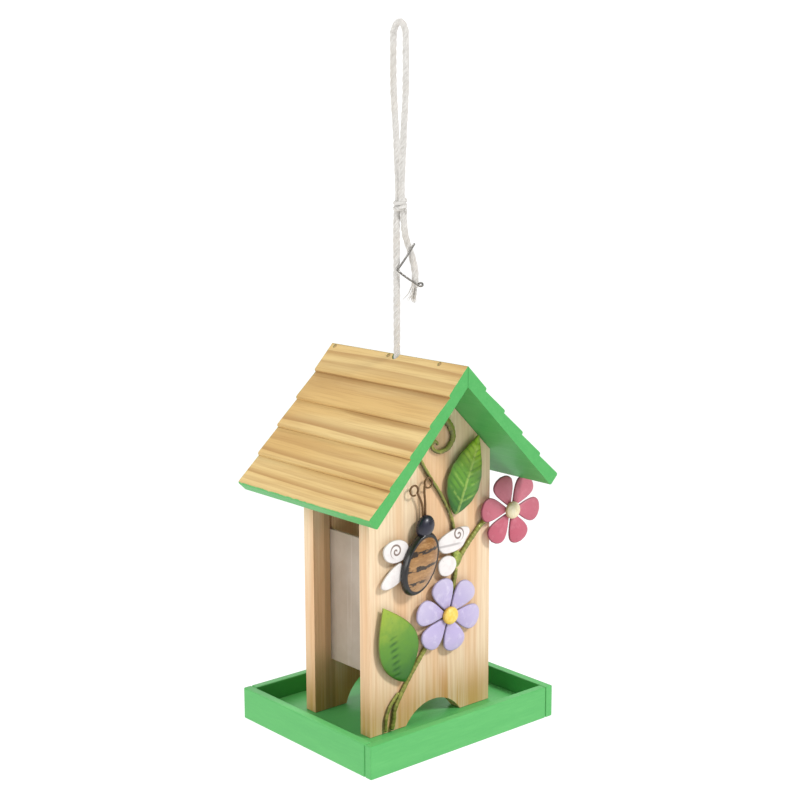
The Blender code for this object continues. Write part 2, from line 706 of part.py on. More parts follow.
def build():
    """Make the whole feeder under the empty that hangs from the origin."""
    clear_scene()
    hang_frame = bpy.data.objects.new("hang_frame", None)
    bpy.context.collection.objects.link(hang_frame)
    hang_frame.location = (0, 0, -HANG_HEIGHT)
    screw_cutter = make_screws(hang_frame)
    pin_cutter = make_pins(hang_frame)
    make_tray(hang_frame, screw_cutter)
    make_gables(hang_frame, screw_cutter, pin_cutter)
    make_dowel(hang_frame)
    make_windows(hang_frame)
    make_roof(hang_frame)
    make_cord(hang_frame)
    make_wire_clip(hang_frame)
    make_stems(hang_frame)
    make_leaves(hang_frame)
    make_flower("purple_flower", PURPLE_FLOWER, "lilac_paint", "yellow_paint", hang_frame)
    make_flower("pink_flower", PINK_FLOWER, "rose_paint", "cream_paint", hang_frame)
    make_bee(hang_frame)


build()
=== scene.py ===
import math

import bpy
import numpy as np
from mathutils import Matrix, Vector


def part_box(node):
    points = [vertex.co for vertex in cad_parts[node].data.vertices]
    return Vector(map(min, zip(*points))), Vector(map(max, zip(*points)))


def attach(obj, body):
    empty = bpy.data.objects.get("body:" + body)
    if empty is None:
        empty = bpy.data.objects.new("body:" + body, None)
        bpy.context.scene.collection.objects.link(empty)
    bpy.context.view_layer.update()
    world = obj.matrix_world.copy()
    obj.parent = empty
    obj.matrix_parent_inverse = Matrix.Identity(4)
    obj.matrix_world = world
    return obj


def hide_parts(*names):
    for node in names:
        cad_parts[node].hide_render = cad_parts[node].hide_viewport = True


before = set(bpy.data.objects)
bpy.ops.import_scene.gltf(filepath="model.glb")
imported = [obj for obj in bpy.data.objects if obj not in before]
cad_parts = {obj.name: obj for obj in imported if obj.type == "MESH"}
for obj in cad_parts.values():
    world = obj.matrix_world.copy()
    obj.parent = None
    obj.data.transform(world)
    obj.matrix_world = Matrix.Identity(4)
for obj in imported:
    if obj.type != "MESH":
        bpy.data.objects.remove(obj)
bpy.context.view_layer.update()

MM = 0.001
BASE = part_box("tray_floor")[0][2]        # height of the tray's underside


# ------------------------------------------------------------
# Camera.  It stands off the left front corner, a little above the eaves, and sees the hanging
# feeder from the foot of its tray to the top of its cord loop.
# ------------------------------------------------------------
AIM = Vector((0.0, -0.003, -0.2456))
CAMERA_AZIMUTH, CAMERA_ELEVATION = -40.75, 10.40
CAMERA_DISTANCE = 1.0363
CAMERA_LENS = 69.28
CAMERA_ROLL = math.radians(-0.19)


def way_to(azimuth, elevation):
    """Direction of a place seen from the feeder: degrees round from its front, and up."""
    a, e = math.radians(azimuth), math.radians(elevation)
    return Vector((math.sin(a) * math.cos(e), -math.cos(a) * math.cos(e), math.sin(e)))


towards = way_to(CAMERA_AZIMUTH, CAMERA_ELEVATION)
camera_data = bpy.data.cameras.new("camera")
camera_data.lens = CAMERA_LENS
camera_data.clip_end = 20
camera = bpy.data.objects.new("camera", camera_data)
camera.location = AIM + towards * CAMERA_DISTANCE
camera.rotation_euler = ((-towards).to_track_quat("-Z", "Y").to_matrix()
                         @ Matrix.Rotation(CAMERA_ROLL, 3, "Z")).to_euler()
bpy.context.collection.objects.link(camera)
bpy.context.scene.camera = camera


# ------------------------------------------------------------
# Cord.  One length of soft three-strand cotton twist.  It is ringed round a dowel inside the
# roof, comes out through the ridge, is doubled into a hanging loop and hitched on itself, and
# its free end is cut and left to fray.
# ------------------------------------------------------------
CORD_R = 2.3 * MM
STRAND_PITCH = 17 * MM           # length in which a strand goes once round the cord
STRAND_DEPTH = 0.17              # how far the grooves between strands go in, as a share
SIDEWAYS = np.array((0.76, -0.65, 0)) / math.hypot(0.76, 0.65)
LOOP_WAY = np.array((0.27, 0.96, 0)) / math.hypot(0.27, 0.96)
LOOP_HALF = 9.4                  # half the width of the loop's round top, in millimetres
KNOT_SHIFT = 2.4                 # how far the loop stands aside of the standing part
KNOT_HIGH = 361.5                # heights over the tray's underside
LOOP_TOP = 474.0


def smooth_path(points, step):
    """Catmull-Rom curve through the points: on each span the position is the cubic that leaves
    and arrives along half the step between neighbours, taken again at even steps of length."""
    p = np.asarray(points, float)
    p = np.vstack((2 * p[0] - p[1], p, 2 * p[-1] - p[-2]))
    t = np.linspace(0, 1, 24, endpoint=False)[:, None, None]
    a, b, c, d = p[:-3], p[1:-2], p[2:-1], p[3:]
    curve = 0.5 * (2 * b + (c - a) * t + (2 * a - 5 * b + 4 * c - d) * t ** 2
                   + (3 * b - a - 3 * c + d) * t ** 3)
    curve = np.vstack((curve.transpose(1, 0, 2).reshape(-1, 3), p[-2]))
    run = np.concatenate(([0], np.cumsum(np.linalg.norm(np.diff(curve, axis=0), axis=1))))
    at = np.linspace(0, run[-1], max(2, int(round(run[-1] / step)) + 1))
    return np.stack([np.interp(at, run, curve[:, k]) for k in range(3)], axis=1)


def joined(*parts):
    """Numbers spread over one grid and held as the parts of a vector at each of its points."""
    return np.stack(np.broadcast_arrays(*parts), -1)


def run_along(path):
    """Distance from the first point to each point of a path."""
    return np.concatenate(([0], np.cumsum(np.linalg.norm(np.diff(path, axis=0), axis=1))))


def sweep(path, radius, sides, level, turn=0.0):
    """Grid of points round a path: point = path + radius(row, column) * (cos a * across + sin a *
    up), where across is the level direction crossed with the path's own direction."""
    ahead = np.gradient(path, axis=0)
    ahead /= np.linalg.norm(ahead, axis=1, keepdims=True)
    across = np.cross(np.asarray(level, float), ahead)
    across /= np.linalg.norm(across, axis=1, keepdims=True)
    up = np.cross(ahead, across)
    a = np.linspace(0, 2 * np.pi, sides, endpoint=False) + turn
    around = np.cos(a)[None, :, None] * across[:, None] + np.sin(a)[None, :, None] * up[:, None]
    radius = np.broadcast_to(np.asarray(radius, float), (len(path), sides))
    return path[:, None] + around * radius[:, :, None]


def skin(name, *grids, around=True, ends=True, place=None):
    """One mesh of four-sided faces over grids of points (rows, columns, xyz).  around joins the
    last column to the first; ends closes the first and last rows with a middle point each.
    place, a grid like the points, is kept on the mesh for materials to read."""
    verts, quads, fans, marks = [], [], [], []
    base = 0
    for k, grid in enumerate(grids):
        rows, cols = grid.shape[:2]
        r = np.arange(rows - 1)[:, None]
        c = np.arange(cols if around else cols - 1)[None, :]
        n = (c + 1) % cols
        quads.append(base + np.stack((r * cols + c, r * cols + n, (r + 1) * cols + n,
                                      (r + 1) * cols + c), -1).reshape(-1, 4))
        verts.append(grid.reshape(-1, 3))
        mark = np.zeros_like(grid) if place is None else place[k]
        marks.append(mark.reshape(-1, 3))
        base += rows * cols
        if ends:
            verts.append(np.stack((grid[0].mean(0), grid[-1].mean(0))))
            marks.append(np.stack((mark[0].mean(0), mark[-1].mean(0))))
            c = np.arange(cols)
            n = (c + 1) % cols
            first = base - rows * cols
            fans.append(np.stack((first + n, first + c, np.full(cols, base)), -1))
            last = base - cols
            fans.append(np.stack((last + c, last + n, np.full(cols, base + 1)), -1))
            base += 2
    mesh = bpy.data.meshes.new(name)
    faces = np.vstack(quads).tolist() + (np.vstack(fans).tolist() if fans else [])
    mesh.from_pydata(np.vstack(verts).tolist(), [], faces)
    mark = mesh.attributes.new("place", "FLOAT_VECTOR", "POINT")
    mark.data.foreach_set("vector", np.vstack(marks).astype(np.float32).ravel())
    mesh.update()
    mesh.shade_smooth()
    turn_outwards(mesh)
    piece = bpy.data.objects.new(name, mesh)
    bpy.context.collection.objects.link(piece)
    return piece


def turn_outwards(mesh):
    """Flips a closed mesh whose signed volume (the sum of a . (b x c) / 6) is negative."""
    mesh.calc_loop_triangles()
    points = np.empty(len(mesh.vertices) * 3)
    mesh.vertices.foreach_get("co", points)
    points = points.reshape(-1, 3)
    points = points - points.mean(0)
    corners = np.empty(len(mesh.loop_triangles) * 3, int)
    mesh.loop_triangles.foreach_get("vertices", corners)
    a, b, c = points[corners.reshape(-1, 3).T]
    if np.einsum("ij,ij->", a, np.cross(b, c)) < 0:
        mesh.flip_normals()


def fit(piece, material, body, finish, *nodes):
    """Gives a piece its material and its body, and hides the nodes it is for; finish is not used.
    """
    piece.data.materials.append(material)
    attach(piece, body)
    if nodes:
        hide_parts(*nodes)
    return piece


def colour(red, green, blue):
    """Linear colour of a display colour given from 0 to 255."""
    share = np.array((red, green, blue)) / 255
    linear = np.where(share <= 0.04045, share / 12.92, ((share + 0.055) / 1.055) ** 2.4)
    return (*linear.tolist(), 1.0)


class Wire:
    """A node's output.  Sums, differences and products of these each add one Math node."""
    __array_ufunc__ = None       # so that a numpy number minus a wire is left to this class

    def __init__(self, socket):
        self.socket = socket

    def __add__(self, other):
        return maths("ADD", self, other)

    def __sub__(self, other):
        return maths("SUBTRACT", self, other)

    def __rsub__(self, other):
        return maths("SUBTRACT", other, self)

    def __mul__(self, other):
        return maths("MULTIPLY", self, other)

    def __truediv__(self, other):
        return maths("DIVIDE", self, other)

    def __pow__(self, other):
        return maths("POWER", self, other)

    def __abs__(self):
        return maths("ABSOLUTE", self)


def feed(node, numbered=None, **named):
    """Links inputs of a node to wires, or sets their own values; _ in a name is a space."""
    named = {key.replace("_", " "): value for key, value in named.items()}
    for key, value in {**(numbered or {}), **named}.items():
        if isinstance(value, Wire):
            node.id_data.links.new(value.socket, node.inputs[key])
        else:
            node.inputs[key].default_value = value


def add(tree, kind, inputs=None, output=0, **settings):
    """A new shader node with its settings made and its inputs filled; gives one of its outputs."""
    new = tree.nodes.new("ShaderNode" + kind)
    for key, value in settings.items():
        setattr(new, key, value)
    feed(new, inputs)
    return Wire(new.outputs[output])


def fed_by(values, kind, inputs, output=0, **settings):
    """A new node in the tree that the first wire among the values belongs to."""
    tree = next(value.socket.id_data for value in values if isinstance(value, Wire))
    return add(tree, kind, inputs, output, **settings)


def maths(operation, *values, clamp=False):
    """Result of one Math node."""
    return fed_by(values, "Math", dict(enumerate(values)), operation=operation, use_clamp=clamp)


def off_whole(value):
    """Distance of a number from the nearest whole number, as in a row of stripes."""
    return abs(value - maths("ROUND", value))


def vector_maths(operation, *values, output=0):
    """Result of one Vector Math node."""
    return fed_by(values, "VectorMath", dict(enumerate(values)), output, operation=operation)


def away_from(vector, point):
    """Vector from a point to each place."""
    return vector_maths("SUBTRACT", vector, point)


def length_of(vector):
    """Length of a vector."""
    return vector_maths("LENGTH", vector, output="Value")


def dot(vector, way):
    """Share of a vector that lies along a direction."""
    return vector_maths("DOT_PRODUCT", vector, way, output="Value")


def parts_of(vector):
    """The three numbers of a vector."""
    node = fed_by([vector], "SeparateXYZ", {0: vector}).socket.node
    return [Wire(end) for end in node.outputs]


def mixed(factor, first, second):
    """Second colour over the first by the factor."""
    return fed_by([factor, first, second], "Mix", {0: factor, 6: first, 7: second}, 2,
                  data_type="RGBA")


def ramp(value, low, high, from_low=0.0, from_high=1.0):
    """Value carried smoothly from one range to another, and held inside it."""
    return fed_by([value], "MapRange", {"Value": value, "From Min": low, "From Max": high,
                                        "To Min": from_low, "To Max": from_high},
                  interpolation_type="SMOOTHSTEP")


def stretched(vector, scale, offset=(0, 0, 0), turn=(0, 0, 0)):
    """The coordinates through a Mapping node."""
    return fed_by([vector], "Mapping", {"Vector": vector, "Location": offset, "Rotation": turn,
                                        "Scale": scale})


def noise(vector, scale=1.0, detail=2.0, rough=0.5, bend=0.0):
    """One Noise node's value."""
    return fed_by([vector], "TexNoise", {"Vector": vector, "Scale": scale, "Detail": detail,
                                         "Roughness": rough, "Distortion": bend})


def drawn(number):
    """A number from 0 to 1 that is the same wherever the given number is."""
    return fed_by([number], "TexWhiteNoise", {"W": number}, noise_dimensions="1D")


def bumped(height, distance, strength=1.0):
    """Normal of a surface raised by a height from 0 to 1 over a distance in metres."""
    return fed_by([height], "Bump", {"Height": height, "Distance": distance, "Strength": strength})


def finish_shader(name, **own):
    """A material with one Principled shader; own holds values set on the shader's own sockets."""
    material = bpy.data.materials.new(name)
    material.use_nodes = True
    shader = material.node_tree.nodes["Principled BSDF"]
    feed(shader, **own)
    return material, material.node_tree, shader


def effect(name, inputs, outputs):
    """A shared node group: inputs holds each input's first value, or None for a vector, and the
    outputs are numbers.  It gives the group, its inputs by name and its output node."""
    tree = bpy.data.node_groups.new(name, "ShaderNodeTree")
    for label, start in inputs.items():
        kind = "NodeSocketVector" if start is None else "NodeSocketFloat"
        socket = tree.interface.new_socket(label, in_out="INPUT", socket_type=kind)
        if start is not None:
            socket.default_value = start
    for label in outputs:
        tree.interface.new_socket(label, in_out="OUTPUT", socket_type="NodeSocketFloat")
    ends_in = tree.nodes.new("NodeGroupInput").outputs
    return tree, {end.name: Wire(end) for end in ends_in}, tree.nodes.new("NodeGroupOutput")


def use(tree, group, **inputs):
    """The group placed in a material, as its outputs by name."""
    new = tree.nodes.new("ShaderNodeGroup")
    new.node_tree = group
    feed(new, **inputs)
    return {end.name: Wire(end) for end in new.outputs}


def place_of(tree):
    """The piece's own coordinates that skin() keeps on its mesh."""
    return add(tree, "Attribute", output="Vector", attribute_name="place")


def object_place(tree):
    """Place in the object's frame, in metres."""
    return add(tree, "TexCoord", output="Object")


def facing_of(tree):
    """Way the surface faces, in the object's frame."""
    return add(tree, "TexCoord", output="Normal")


def cord_route():
    """Standing part up to the knot, one side of the loop, its round top, the other side, and the
    free end: each point is sideways, along the loop's plane, and up, in millimetres."""
    foot = KNOT_HIGH + 0.3
    apart = CORD_R / MM + 0.3
    shoulder = LOOP_TOP - LOOP_HALF
    rise = [(apart, foot), (apart + 0.6, foot + 14), (6, foot + 42), (LOOP_HALF, foot + 72)]
    turn = np.radians(np.linspace(0, 180, 9))
    bend = list(zip(LOOP_HALF * np.cos(turn), shoulder + LOOP_HALF * np.sin(turn)))
    loop = rise + bend + [(-s, z) for s, z in reversed(rise)]
    standing = [(0, 0, 231.2), (0, 0, 262), (0, 0, 295), (0, 0, 325), (0.1, 0.2, 344),
                (1.1, 1.5, 353)]
    tail = [(3.9, -1.3, 353.5), (5.0, 0, 344.5), (6.2, 0, 335), (10.0, 0, 323), (12.2, 0, 312),
            (12.1, 0, 302)]
    route = standing + [(KNOT_SHIFT, s, z) for s, z in loop] + tail
    return np.array([SIDEWAYS * a + LOOP_WAY * b + np.array((0, 0, c)) for a, b, c in route]) * MM


def twist(path, radius, level, sides=30, pitch=STRAND_PITCH):
    """Three-strand rope round a path: the radius follows |cos(1.5 b)|, where b is the angle round
    the cord less the turns made so far.  place is that turning frame: cos b, sin b, distance."""
    run = run_along(path)[:, None]
    a = np.linspace(0, 2 * np.pi, sides, endpoint=False)[None, :]
    b = a - 2 * np.pi * run / pitch
    lobe = np.abs(np.cos(1.5 * b)) ** 0.7
    slack = 1 + 0.025 * np.sin(run / (7.3 * MM)) + 0.02 * np.sin(run / (3.1 * MM) + 1)
    size = np.broadcast_to(radius, run.shape[0])[:, None] * (1 - STRAND_DEPTH * (1 - lobe)) * slack
    grid = sweep(path, size, sides, level)
    return grid, joined(np.cos(b), np.sin(b), run / (10 * MM))


cotton, tree, shader = finish_shader("cotton_twist", Roughness=0.9, Specular_IOR_Level=0.15,
                                     Sheen_Weight=0.25, Sheen_Roughness=0.6)
place = place_of(tree)
fibres = noise(stretched(place, (9, 9, 2.5)), 1.0, 3, 0.6, 0.4)
fine = noise(stretched(place, (34, 34, 9)), 1.0, 2, 0.6)
soiled = noise(stretched(object_place(tree), (60, 60, 40)), 1.0, 3)
base = mixed(ramp(fibres, 0.35, 0.62), colour(184, 180, 174), colour(226, 224, 220))
base = mixed(ramp(soiled, 0.45, 0.75, 0, 0.35), base, colour(196, 186, 172))
feed(shader, Base_Color=base, Normal=bumped(fibres + fine * 0.5, 0.35 * MM, 0.8))

BASE_SHIFT = np.array((0, 0, BASE))
cord_path = smooth_path(cord_route(), 0.55 * MM) + BASE_SHIFT
grid, place = twist(cord_path, CORD_R, np.cross(LOOP_WAY, (0, 0, 1)))
hanging_cord = fit(skin("hanging_cord", grid, place=[place]), cotton, "feeder", "cotton",
                   "cord_lower", "cord_loop", "cord_tail")

# the turns of the hitch, wound round both strands
turn = np.linspace(-0.3 * np.pi, 3.9 * np.pi, 150)
rise = np.linspace(KNOT_HIGH - 9.4, KNOT_HIGH - 1.8, 150) + 0.9 * np.sin(turn + 0.6)
hitch = (SIDEWAYS[None] * (KNOT_SHIFT + 2.7 * np.cos(turn))[:, None]
         + LOOP_WAY[None] * (3.7 * np.sin(turn))[:, None] + np.array((0, 0, 1)) * rise[:, None])
hitch = smooth_path(hitch * MM, 0.5 * MM) + BASE_SHIFT
grid, place = twist(hitch, 1.75 * MM, (0, 0, 1), 24)
loop_hitch = fit(skin("loop_hitch", grid, place=[place]), cotton, "feeder", "cotton", "loop_knot")

# the ring of cord round the dowel
turn = np.linspace(0, 2 * np.pi, 90)
dowel_low, dowel_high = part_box("hanger_dowel")
ring_r = (dowel_high[0] - dowel_low[0]) / 2 + 0.3 * MM + CORD_R
ring = np.stack((ring_r * np.sin(turn), 0 * turn, ring_r * np.cos(turn)), -1)
ring[:, 2] += (dowel_low[2] + dowel_high[2]) / 2
grid, place = twist(ring, CORD_R * 0.98, (0, 1, 0), 24)
dowel_ring = fit(skin("dowel_ring", grid, place=[place]), cotton, "feeder", "cotton",
                 "cord_anchor_knot")

# the frayed end: strands that open out, each a bundle of fine yarns
fray_rng = np.random.default_rng(7)
yarns, yarn_places = [], []
fray_from = cord_path[-6]
for k in range(26):
    lean = fray_rng.normal(0, 1, 2) * (2.4, 1.8)
    start = np.array((*(fray_rng.normal(0, 0.75, 2)), 0)) * MM
    long = fray_rng.uniform(8.5, 13.4)
    steps = np.linspace(0, 1, 14)
    out = (SIDEWAYS[None] * (lean[0] * steps ** 1.5 - 0.9 * steps)[:, None]
           + LOOP_WAY[None] * (lean[1] * steps ** 1.5)[:, None]
           + np.array((0, 0, -1)) * (long * steps)[:, None]) * MM
    out += 0.25 * MM * np.sin(steps * 9 + k)[:, None] * SIDEWAYS[None]
    path = fray_from + start + out
    thick = fray_rng.uniform(0.3, 0.62) * MM * (1 - 0.7 * steps ** 2)
    grid = sweep(path, thick[:, None], 7, SIDEWAYS)
    yarns.append(grid)
    mark = np.zeros_like(grid)
    mark[..., 0] = 0.3 * k
    mark[..., 2] = (steps * 3)[:, None]
    yarn_places.append(mark)
frayed_end = fit(skin("frayed_end", *yarns, place=yarn_places), cotton, "feeder", "cotton")

# a bent wire that pinches the free end to the standing part: each point of its route is
# sideways, back and up, in millimetres
CLIP_ROUTE = ((12.0, 0, 331.5), (9.3, 0, 327), (6.5, 0, 322.5), (3.2, 0, 317.6), (1.0, 0, 314.6),
              (0.9, 0, 313.4), (3.4, 0, 311.2), (7.0, 0, 308.5), (11.4, 0, 305.6),
              (15.2, 0, 303.2), (17.0, 1.0, 303.2), (17.1, 2.6, 304.4), (15.8, 3.4, 304.9),
              (14.7, 2.6, 304.2))
CLIP_R = 0.68 * MM
CLIP_FORWARD = 3.5               # how far it stands in front of the cord's middle
forward = np.cross(SIDEWAYS, (0, 0, 1))
clip = np.array([SIDEWAYS * a + forward * (CLIP_FORWARD - b) + np.array((0, 0, c))
                 for a, b, c in CLIP_ROUTE]) * MM
clip = smooth_path(clip, 0.35 * MM) + BASE_SHIFT
grid = sweep(clip, CLIP_R, 12, forward)
steel_wire, tree, shader = finish_shader("steel_wire", Metallic=1.0)
tarnish = noise(object_place(tree), 900, 4, 0.6)
feed(shader, Base_Color=mixed(ramp(tarnish, 0.4, 0.7), colour(142, 140, 136), colour(86, 82, 76)),
     Roughness=ramp(tarnish, 0.3, 0.7, 0.28, 0.5), Normal=bumped(tarnish, 0.05 * MM, 0.4))
cord_clip = fit(skin("cord_clip", grid), steel_wire, "feeder", "steel", "wire_clip")


# ------------------------------------------------------------
# Tray.  A floor board and four rails of softwood, glued and nailed, brushed with one coat of
# semi-matt green paint that lets the grain stand through a little and is thin on the arrises.
# ------------------------------------------------------------
brushed, ends_in, ends_out = effect("Brushed coat", {"Vector": None},
                                    ("Streak", "Speck", "Height"))
stroke = noise(ends_in["Vector"], 9, 5, 0.62, 0.3)
speck = noise(ends_in["Vector"], 160, 2, 0.5)
patch = noise(ends_in["Vector"], 2.2, 3, 0.55)
feed(ends_out, Streak=stroke * 0.55 + patch * 0.45, Speck=ramp(speck, 0.66, 0.74),
     Height=stroke + speck * 0.25)

GREEN = colour(92, 180, 100)
GREEN_THIN = colour(108, 190, 112)
GREEN_DEEP = colour(84, 174, 94)
# the darkest green: painted shade inside the tray, and a deeper tone on the roof
GREEN_DARKEST = colour(2, 124, 38)
GREEN_SPECK = colour(48, 130, 62)

FLOOR_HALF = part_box("tray_floor")[1][:2]


def green_coat(tree, along, depth=0.0):
    """Colour, roughness and height of the green paint, brushed along one axis; depth is how far
    the colour goes towards the darkest green, used as painted shade inside the tray and as a
    deeper tone on the roof."""
    scale = [70.0, 70.0, 70.0]
    scale[along] = 8.0
    coat = use(tree, brushed, Vector=stretched(object_place(tree), scale))
    base = mixed(ramp(coat["Streak"], 0.36, 0.64), GREEN_DEEP, GREEN)
    base = mixed(ramp(coat["Streak"], 0.55, 0.75, 0, 0.3), base, GREEN_THIN)
    base = mixed(depth, base, GREEN_DARKEST)
    base = mixed(coat["Speck"] * 0.15, base, GREEN_SPECK)
    return base, ramp(coat["Streak"], 0.3, 0.7, 0.38, 0.56), coat["Height"]


def green_paint(name, along):
    """The tray's coat.  Upright faces that look into the tray, inside the floor's outline, carry
    painted shade: their green is darkened towards the darkest green."""
    material, tree, shader = finish_shader(name, Specular_IOR_Level=0.4)
    x, y, _ = parts_of(object_place(tree))
    past_floor = maths("MAXIMUM", abs(x) - FLOOR_HALF[0], abs(y) - FLOOR_HALF[1])
    level = abs(parts_of(facing_of(tree))[2])
    # painted shade on the upright faces inside the tray
    painted_shade = ramp(past_floor, 0.8 * MM, 0.5 * MM) * ramp(level, 0.6, 0.4, 0, 0.68)
    base, rough, height = green_coat(tree, along, painted_shade)
    feed(shader, Base_Color=base, Roughness=rough, Normal=bumped(height, 0.22 * MM, 0.45))
    return material


def dress(node_name, material):
    """A CAD node keeps its shape and gets a worked material in every slot."""
    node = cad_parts[node_name]
    if not node.material_slots:
        node.data.materials.append(material)
    for held in node.material_slots:
        held.material = material


for label, along, names in (("across", 0, ("tray_rail_front", "tray_rail_back", "tray_floor")),
                            ("along", 1, ("tray_rail_left", "tray_rail_right"))):
    paint = green_paint("green_paint_" + label, along)
    for name in names:
        dress(name, paint)


# ------------------------------------------------------------
# Gables.  Two boards of bare planed pine with their grain upright, pointed under the roof and
# sawn out in an arch at the foot, glued into the tray floor.
# ------------------------------------------------------------
pine, ends_in, ends_out = effect(
    "Pine grain", {"Vector": None, "Ring Width": 0.004, "Pith": None, "Wander": 0.01},
    ("Late Wood", "Fibre", "Tone", "Height"))
here = ends_in["Vector"]
sway = (noise(stretched(here, (22, 22, 3.2)), 1, 2.5, 0.45) - 0.5) * ends_in["Wander"]
off = vector_maths("MULTIPLY", away_from(here, ends_in["Pith"]), (1, 1, 0))
ring = (length_of(off) + sway) / ends_in["Ring Width"]
ring_share = maths("FRACT", ring)
late = ramp(ring_share, 0.25, 0.88) * ramp(ring_share, 1.0, 0.93)
late = late * (drawn(maths("FLOOR", ring)) * 0.65 + 0.35)
fibre = noise(stretched(here, (900, 900, 22)), 1, 3, 0.6)
tone = noise(stretched(here, (38, 38, 4)), 1, 3, 0.5)
feed(ends_out, Late_Wood=late, Fibre=fibre, Tone=tone, Height=late * 0.6 + fibre * 0.5)


def bare_pine(tree, vector, width, pith, wander, pale, warm, dark, late_share=0.75):
    """Colour and height of planed pine: pale early wood, warmer patches, darker late rings."""
    grain = use(tree, pine, Vector=vector, Ring_Width=width, Pith=pith, Wander=wander)
    base = mixed(ramp(grain["Tone"], 0.4, 0.62), pale, warm)
    base = mixed(grain["Late Wood"] * late_share, base, dark)
    base = mixed(ramp(grain["Fibre"], 0.42, 0.7, 0, 0.28), base, dark)
    return base, grain["Height"]


RESIN = colour(190, 122, 50)
STAINED_FOOT = colour(204, 155, 90)
GROOVE_SHADE = colour(112, 78, 36)
LOW_INNER_SHADE = colour(104, 88, 16)
GROOVE_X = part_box("window_right")[0][0]


def gable_pine(name, streak_x, inner):
    """Upright pine with a resin streak that rises from the foot of the board, which is stained in
    threads along the grain.  inner is the way (-1 or 1 along y) its seed side faces: that side
    carries painted shade beside the grooves and low down below the windows."""
    material, tree, shader = finish_shader(name, Roughness=0.55, Specular_IOR_Level=0.3)
    here = object_place(tree)
    base, height = bare_pine(tree, here, 2.6 * MM, (0.09, 0.05, 0), 9 * MM,
                             colour(235, 212, 180), colour(225, 184, 142),
                             colour(198, 150, 104), 0.30)
    x, _, z = parts_of(here)
    wave = noise(stretched(here, (30, 30, 14)), 1, 3)
    thread = noise(stretched(here, (420, 420, 9)), 1, 2)
    aside = abs(x - streak_x + (wave - 0.5) * (8 * MM))
    resin = ramp(aside, 7.5 * MM, 1.0 * MM) * ramp(z, BASE + 62 * MM, BASE + 26 * MM)
    resin = resin * ramp(thread, 0.36, 0.6, 0.45, 1)
    base = mixed(resin * 0.85, base, RESIN)
    foot = ramp(z, BASE + 50 * MM, BASE + 12 * MM) * ramp(thread, 0.38, 0.62, 0.35, 0.9)
    base = mixed(foot, base, STAINED_FOOT)
    seed_side = ramp(dot(facing_of(tree), (0, inner, 0)), 0.5, 0.7)
    # painted shade on the seed side beside each window groove
    from_middle = abs(x)
    groove = (ramp(from_middle, GROOVE_X + 7.6 * MM, GROOVE_X + 6.8 * MM)
              * ramp(from_middle, GROOVE_X - 1.4 * MM, GROOVE_X - 0.6 * MM, 0, 0.36))
    base = mixed(seed_side * groove, base, GROOVE_SHADE)
    # painted shade on the seed side, low down below the windows
    low_shade = ramp(z, BASE + 60 * MM, BASE + 38 * MM, 0, 0.3)
    base = mixed(seed_side * low_shade, base, LOW_INNER_SHADE)
    feed(shader, Base_Color=base, Normal=bumped(height, 0.16 * MM, 0.5))
    return material


dress("gable_front", gable_pine("pine_gable_front", 11.5 * MM, 1))
dress("gable_back", gable_pine("pine_gable_back", -21 * MM, -1))


# ------------------------------------------------------------
# Hanger dowel and screws.  A beech dowel bridges the gables inside the roof; countersunk steel
# screws come up through the tray floor into the gables' feet, and brads pin the roof's ridge.
# ------------------------------------------------------------
dowel_wood, tree, shader = finish_shader("dowel_wood", Roughness=0.6)
turned = stretched(object_place(tree), (1, 1, 1), turn=(math.radians(90), 0, 0))
base, height = bare_pine(tree, turned, 1.6 * MM, (0.01, 0.02, 0), 3 * MM, colour(226, 196, 152),
                         colour(214, 178, 130), colour(170, 128, 84), 0.5)
feed(shader, Base_Color=base, Normal=bumped(height, 0.1 * MM, 0.5))
dress("hanger_dowel", dowel_wood)

zinc, tree, shader = finish_shader("zinc_plate", Metallic=1.0)
flake = add(tree, "TexVoronoi", {"Vector": object_place(tree), "Scale": 1400.0})
feed(shader, Base_Color=mixed(ramp(flake, 0.1, 0.6), colour(176, 174, 168), colour(120, 116, 108)),
     Roughness=ramp(flake, 0.1, 0.7, 0.3, 0.5), Normal=bumped(flake, 0.03 * MM, 0.4))
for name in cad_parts:
    if name.startswith(("gable_screw", "pin_")):
        dress(name, zinc)

brad_brass, tree, shader = finish_shader("brad_brass", Metallic=0.2)
tarnish = noise(object_place(tree), 700, 3, 0.6)
feed(shader, Base_Color=mixed(tarnish, colour(150, 118, 72), colour(188, 156, 104)),
     Roughness=ramp(tarnish, 0.3, 0.7, 0.42, 0.62), Normal=bumped(tarnish, 0.04 * MM, 0.4))
for name in ("ridge_brad_back", "ridge_brad_middle", "ridge_brad_front"):
    dress(name, brad_brass)


# ------------------------------------------------------------
# Seed windows.  Two clear acrylic sheets that slide in grooves in the gables; their sawn edges
# are frosted, and handling has left faint upright scuffs and dust on their faces.  Their
# half-opaque beige-grey colour is painted reflection of the white surround.
# ------------------------------------------------------------
acrylic, tree, shader = finish_shader("clear_acrylic", IOR=1.49, Specular_IOR_Level=0.5)
here = object_place(tree)
scuff = noise(stretched(here, (1, 260, 6)), 1, 3, 0.6)
dust = noise(stretched(here, (1, 24, 24)), 1, 4, 0.6)
# the pane's half-opaque beige-grey colour is painted reflection of the white surround, with dust
# and scuffs in it
reflection_dust_and_scuffs = ramp(dust, 0.3, 0.8) * 0.16 + 0.5 + ramp(scuff, 0.55, 0.8, 0, 0.12)
feed(shader, Alpha=reflection_dust_and_scuffs, Base_Color=mixed(dust, colour(186, 168, 150), colour(204, 190, 176)),
     Roughness=ramp(scuff, 0.3, 0.8, 0.12, 0.34), Normal=bumped(scuff, 0.05 * MM, 0.3))
dress("window_left", acrylic)
dress("window_right", acrylic)


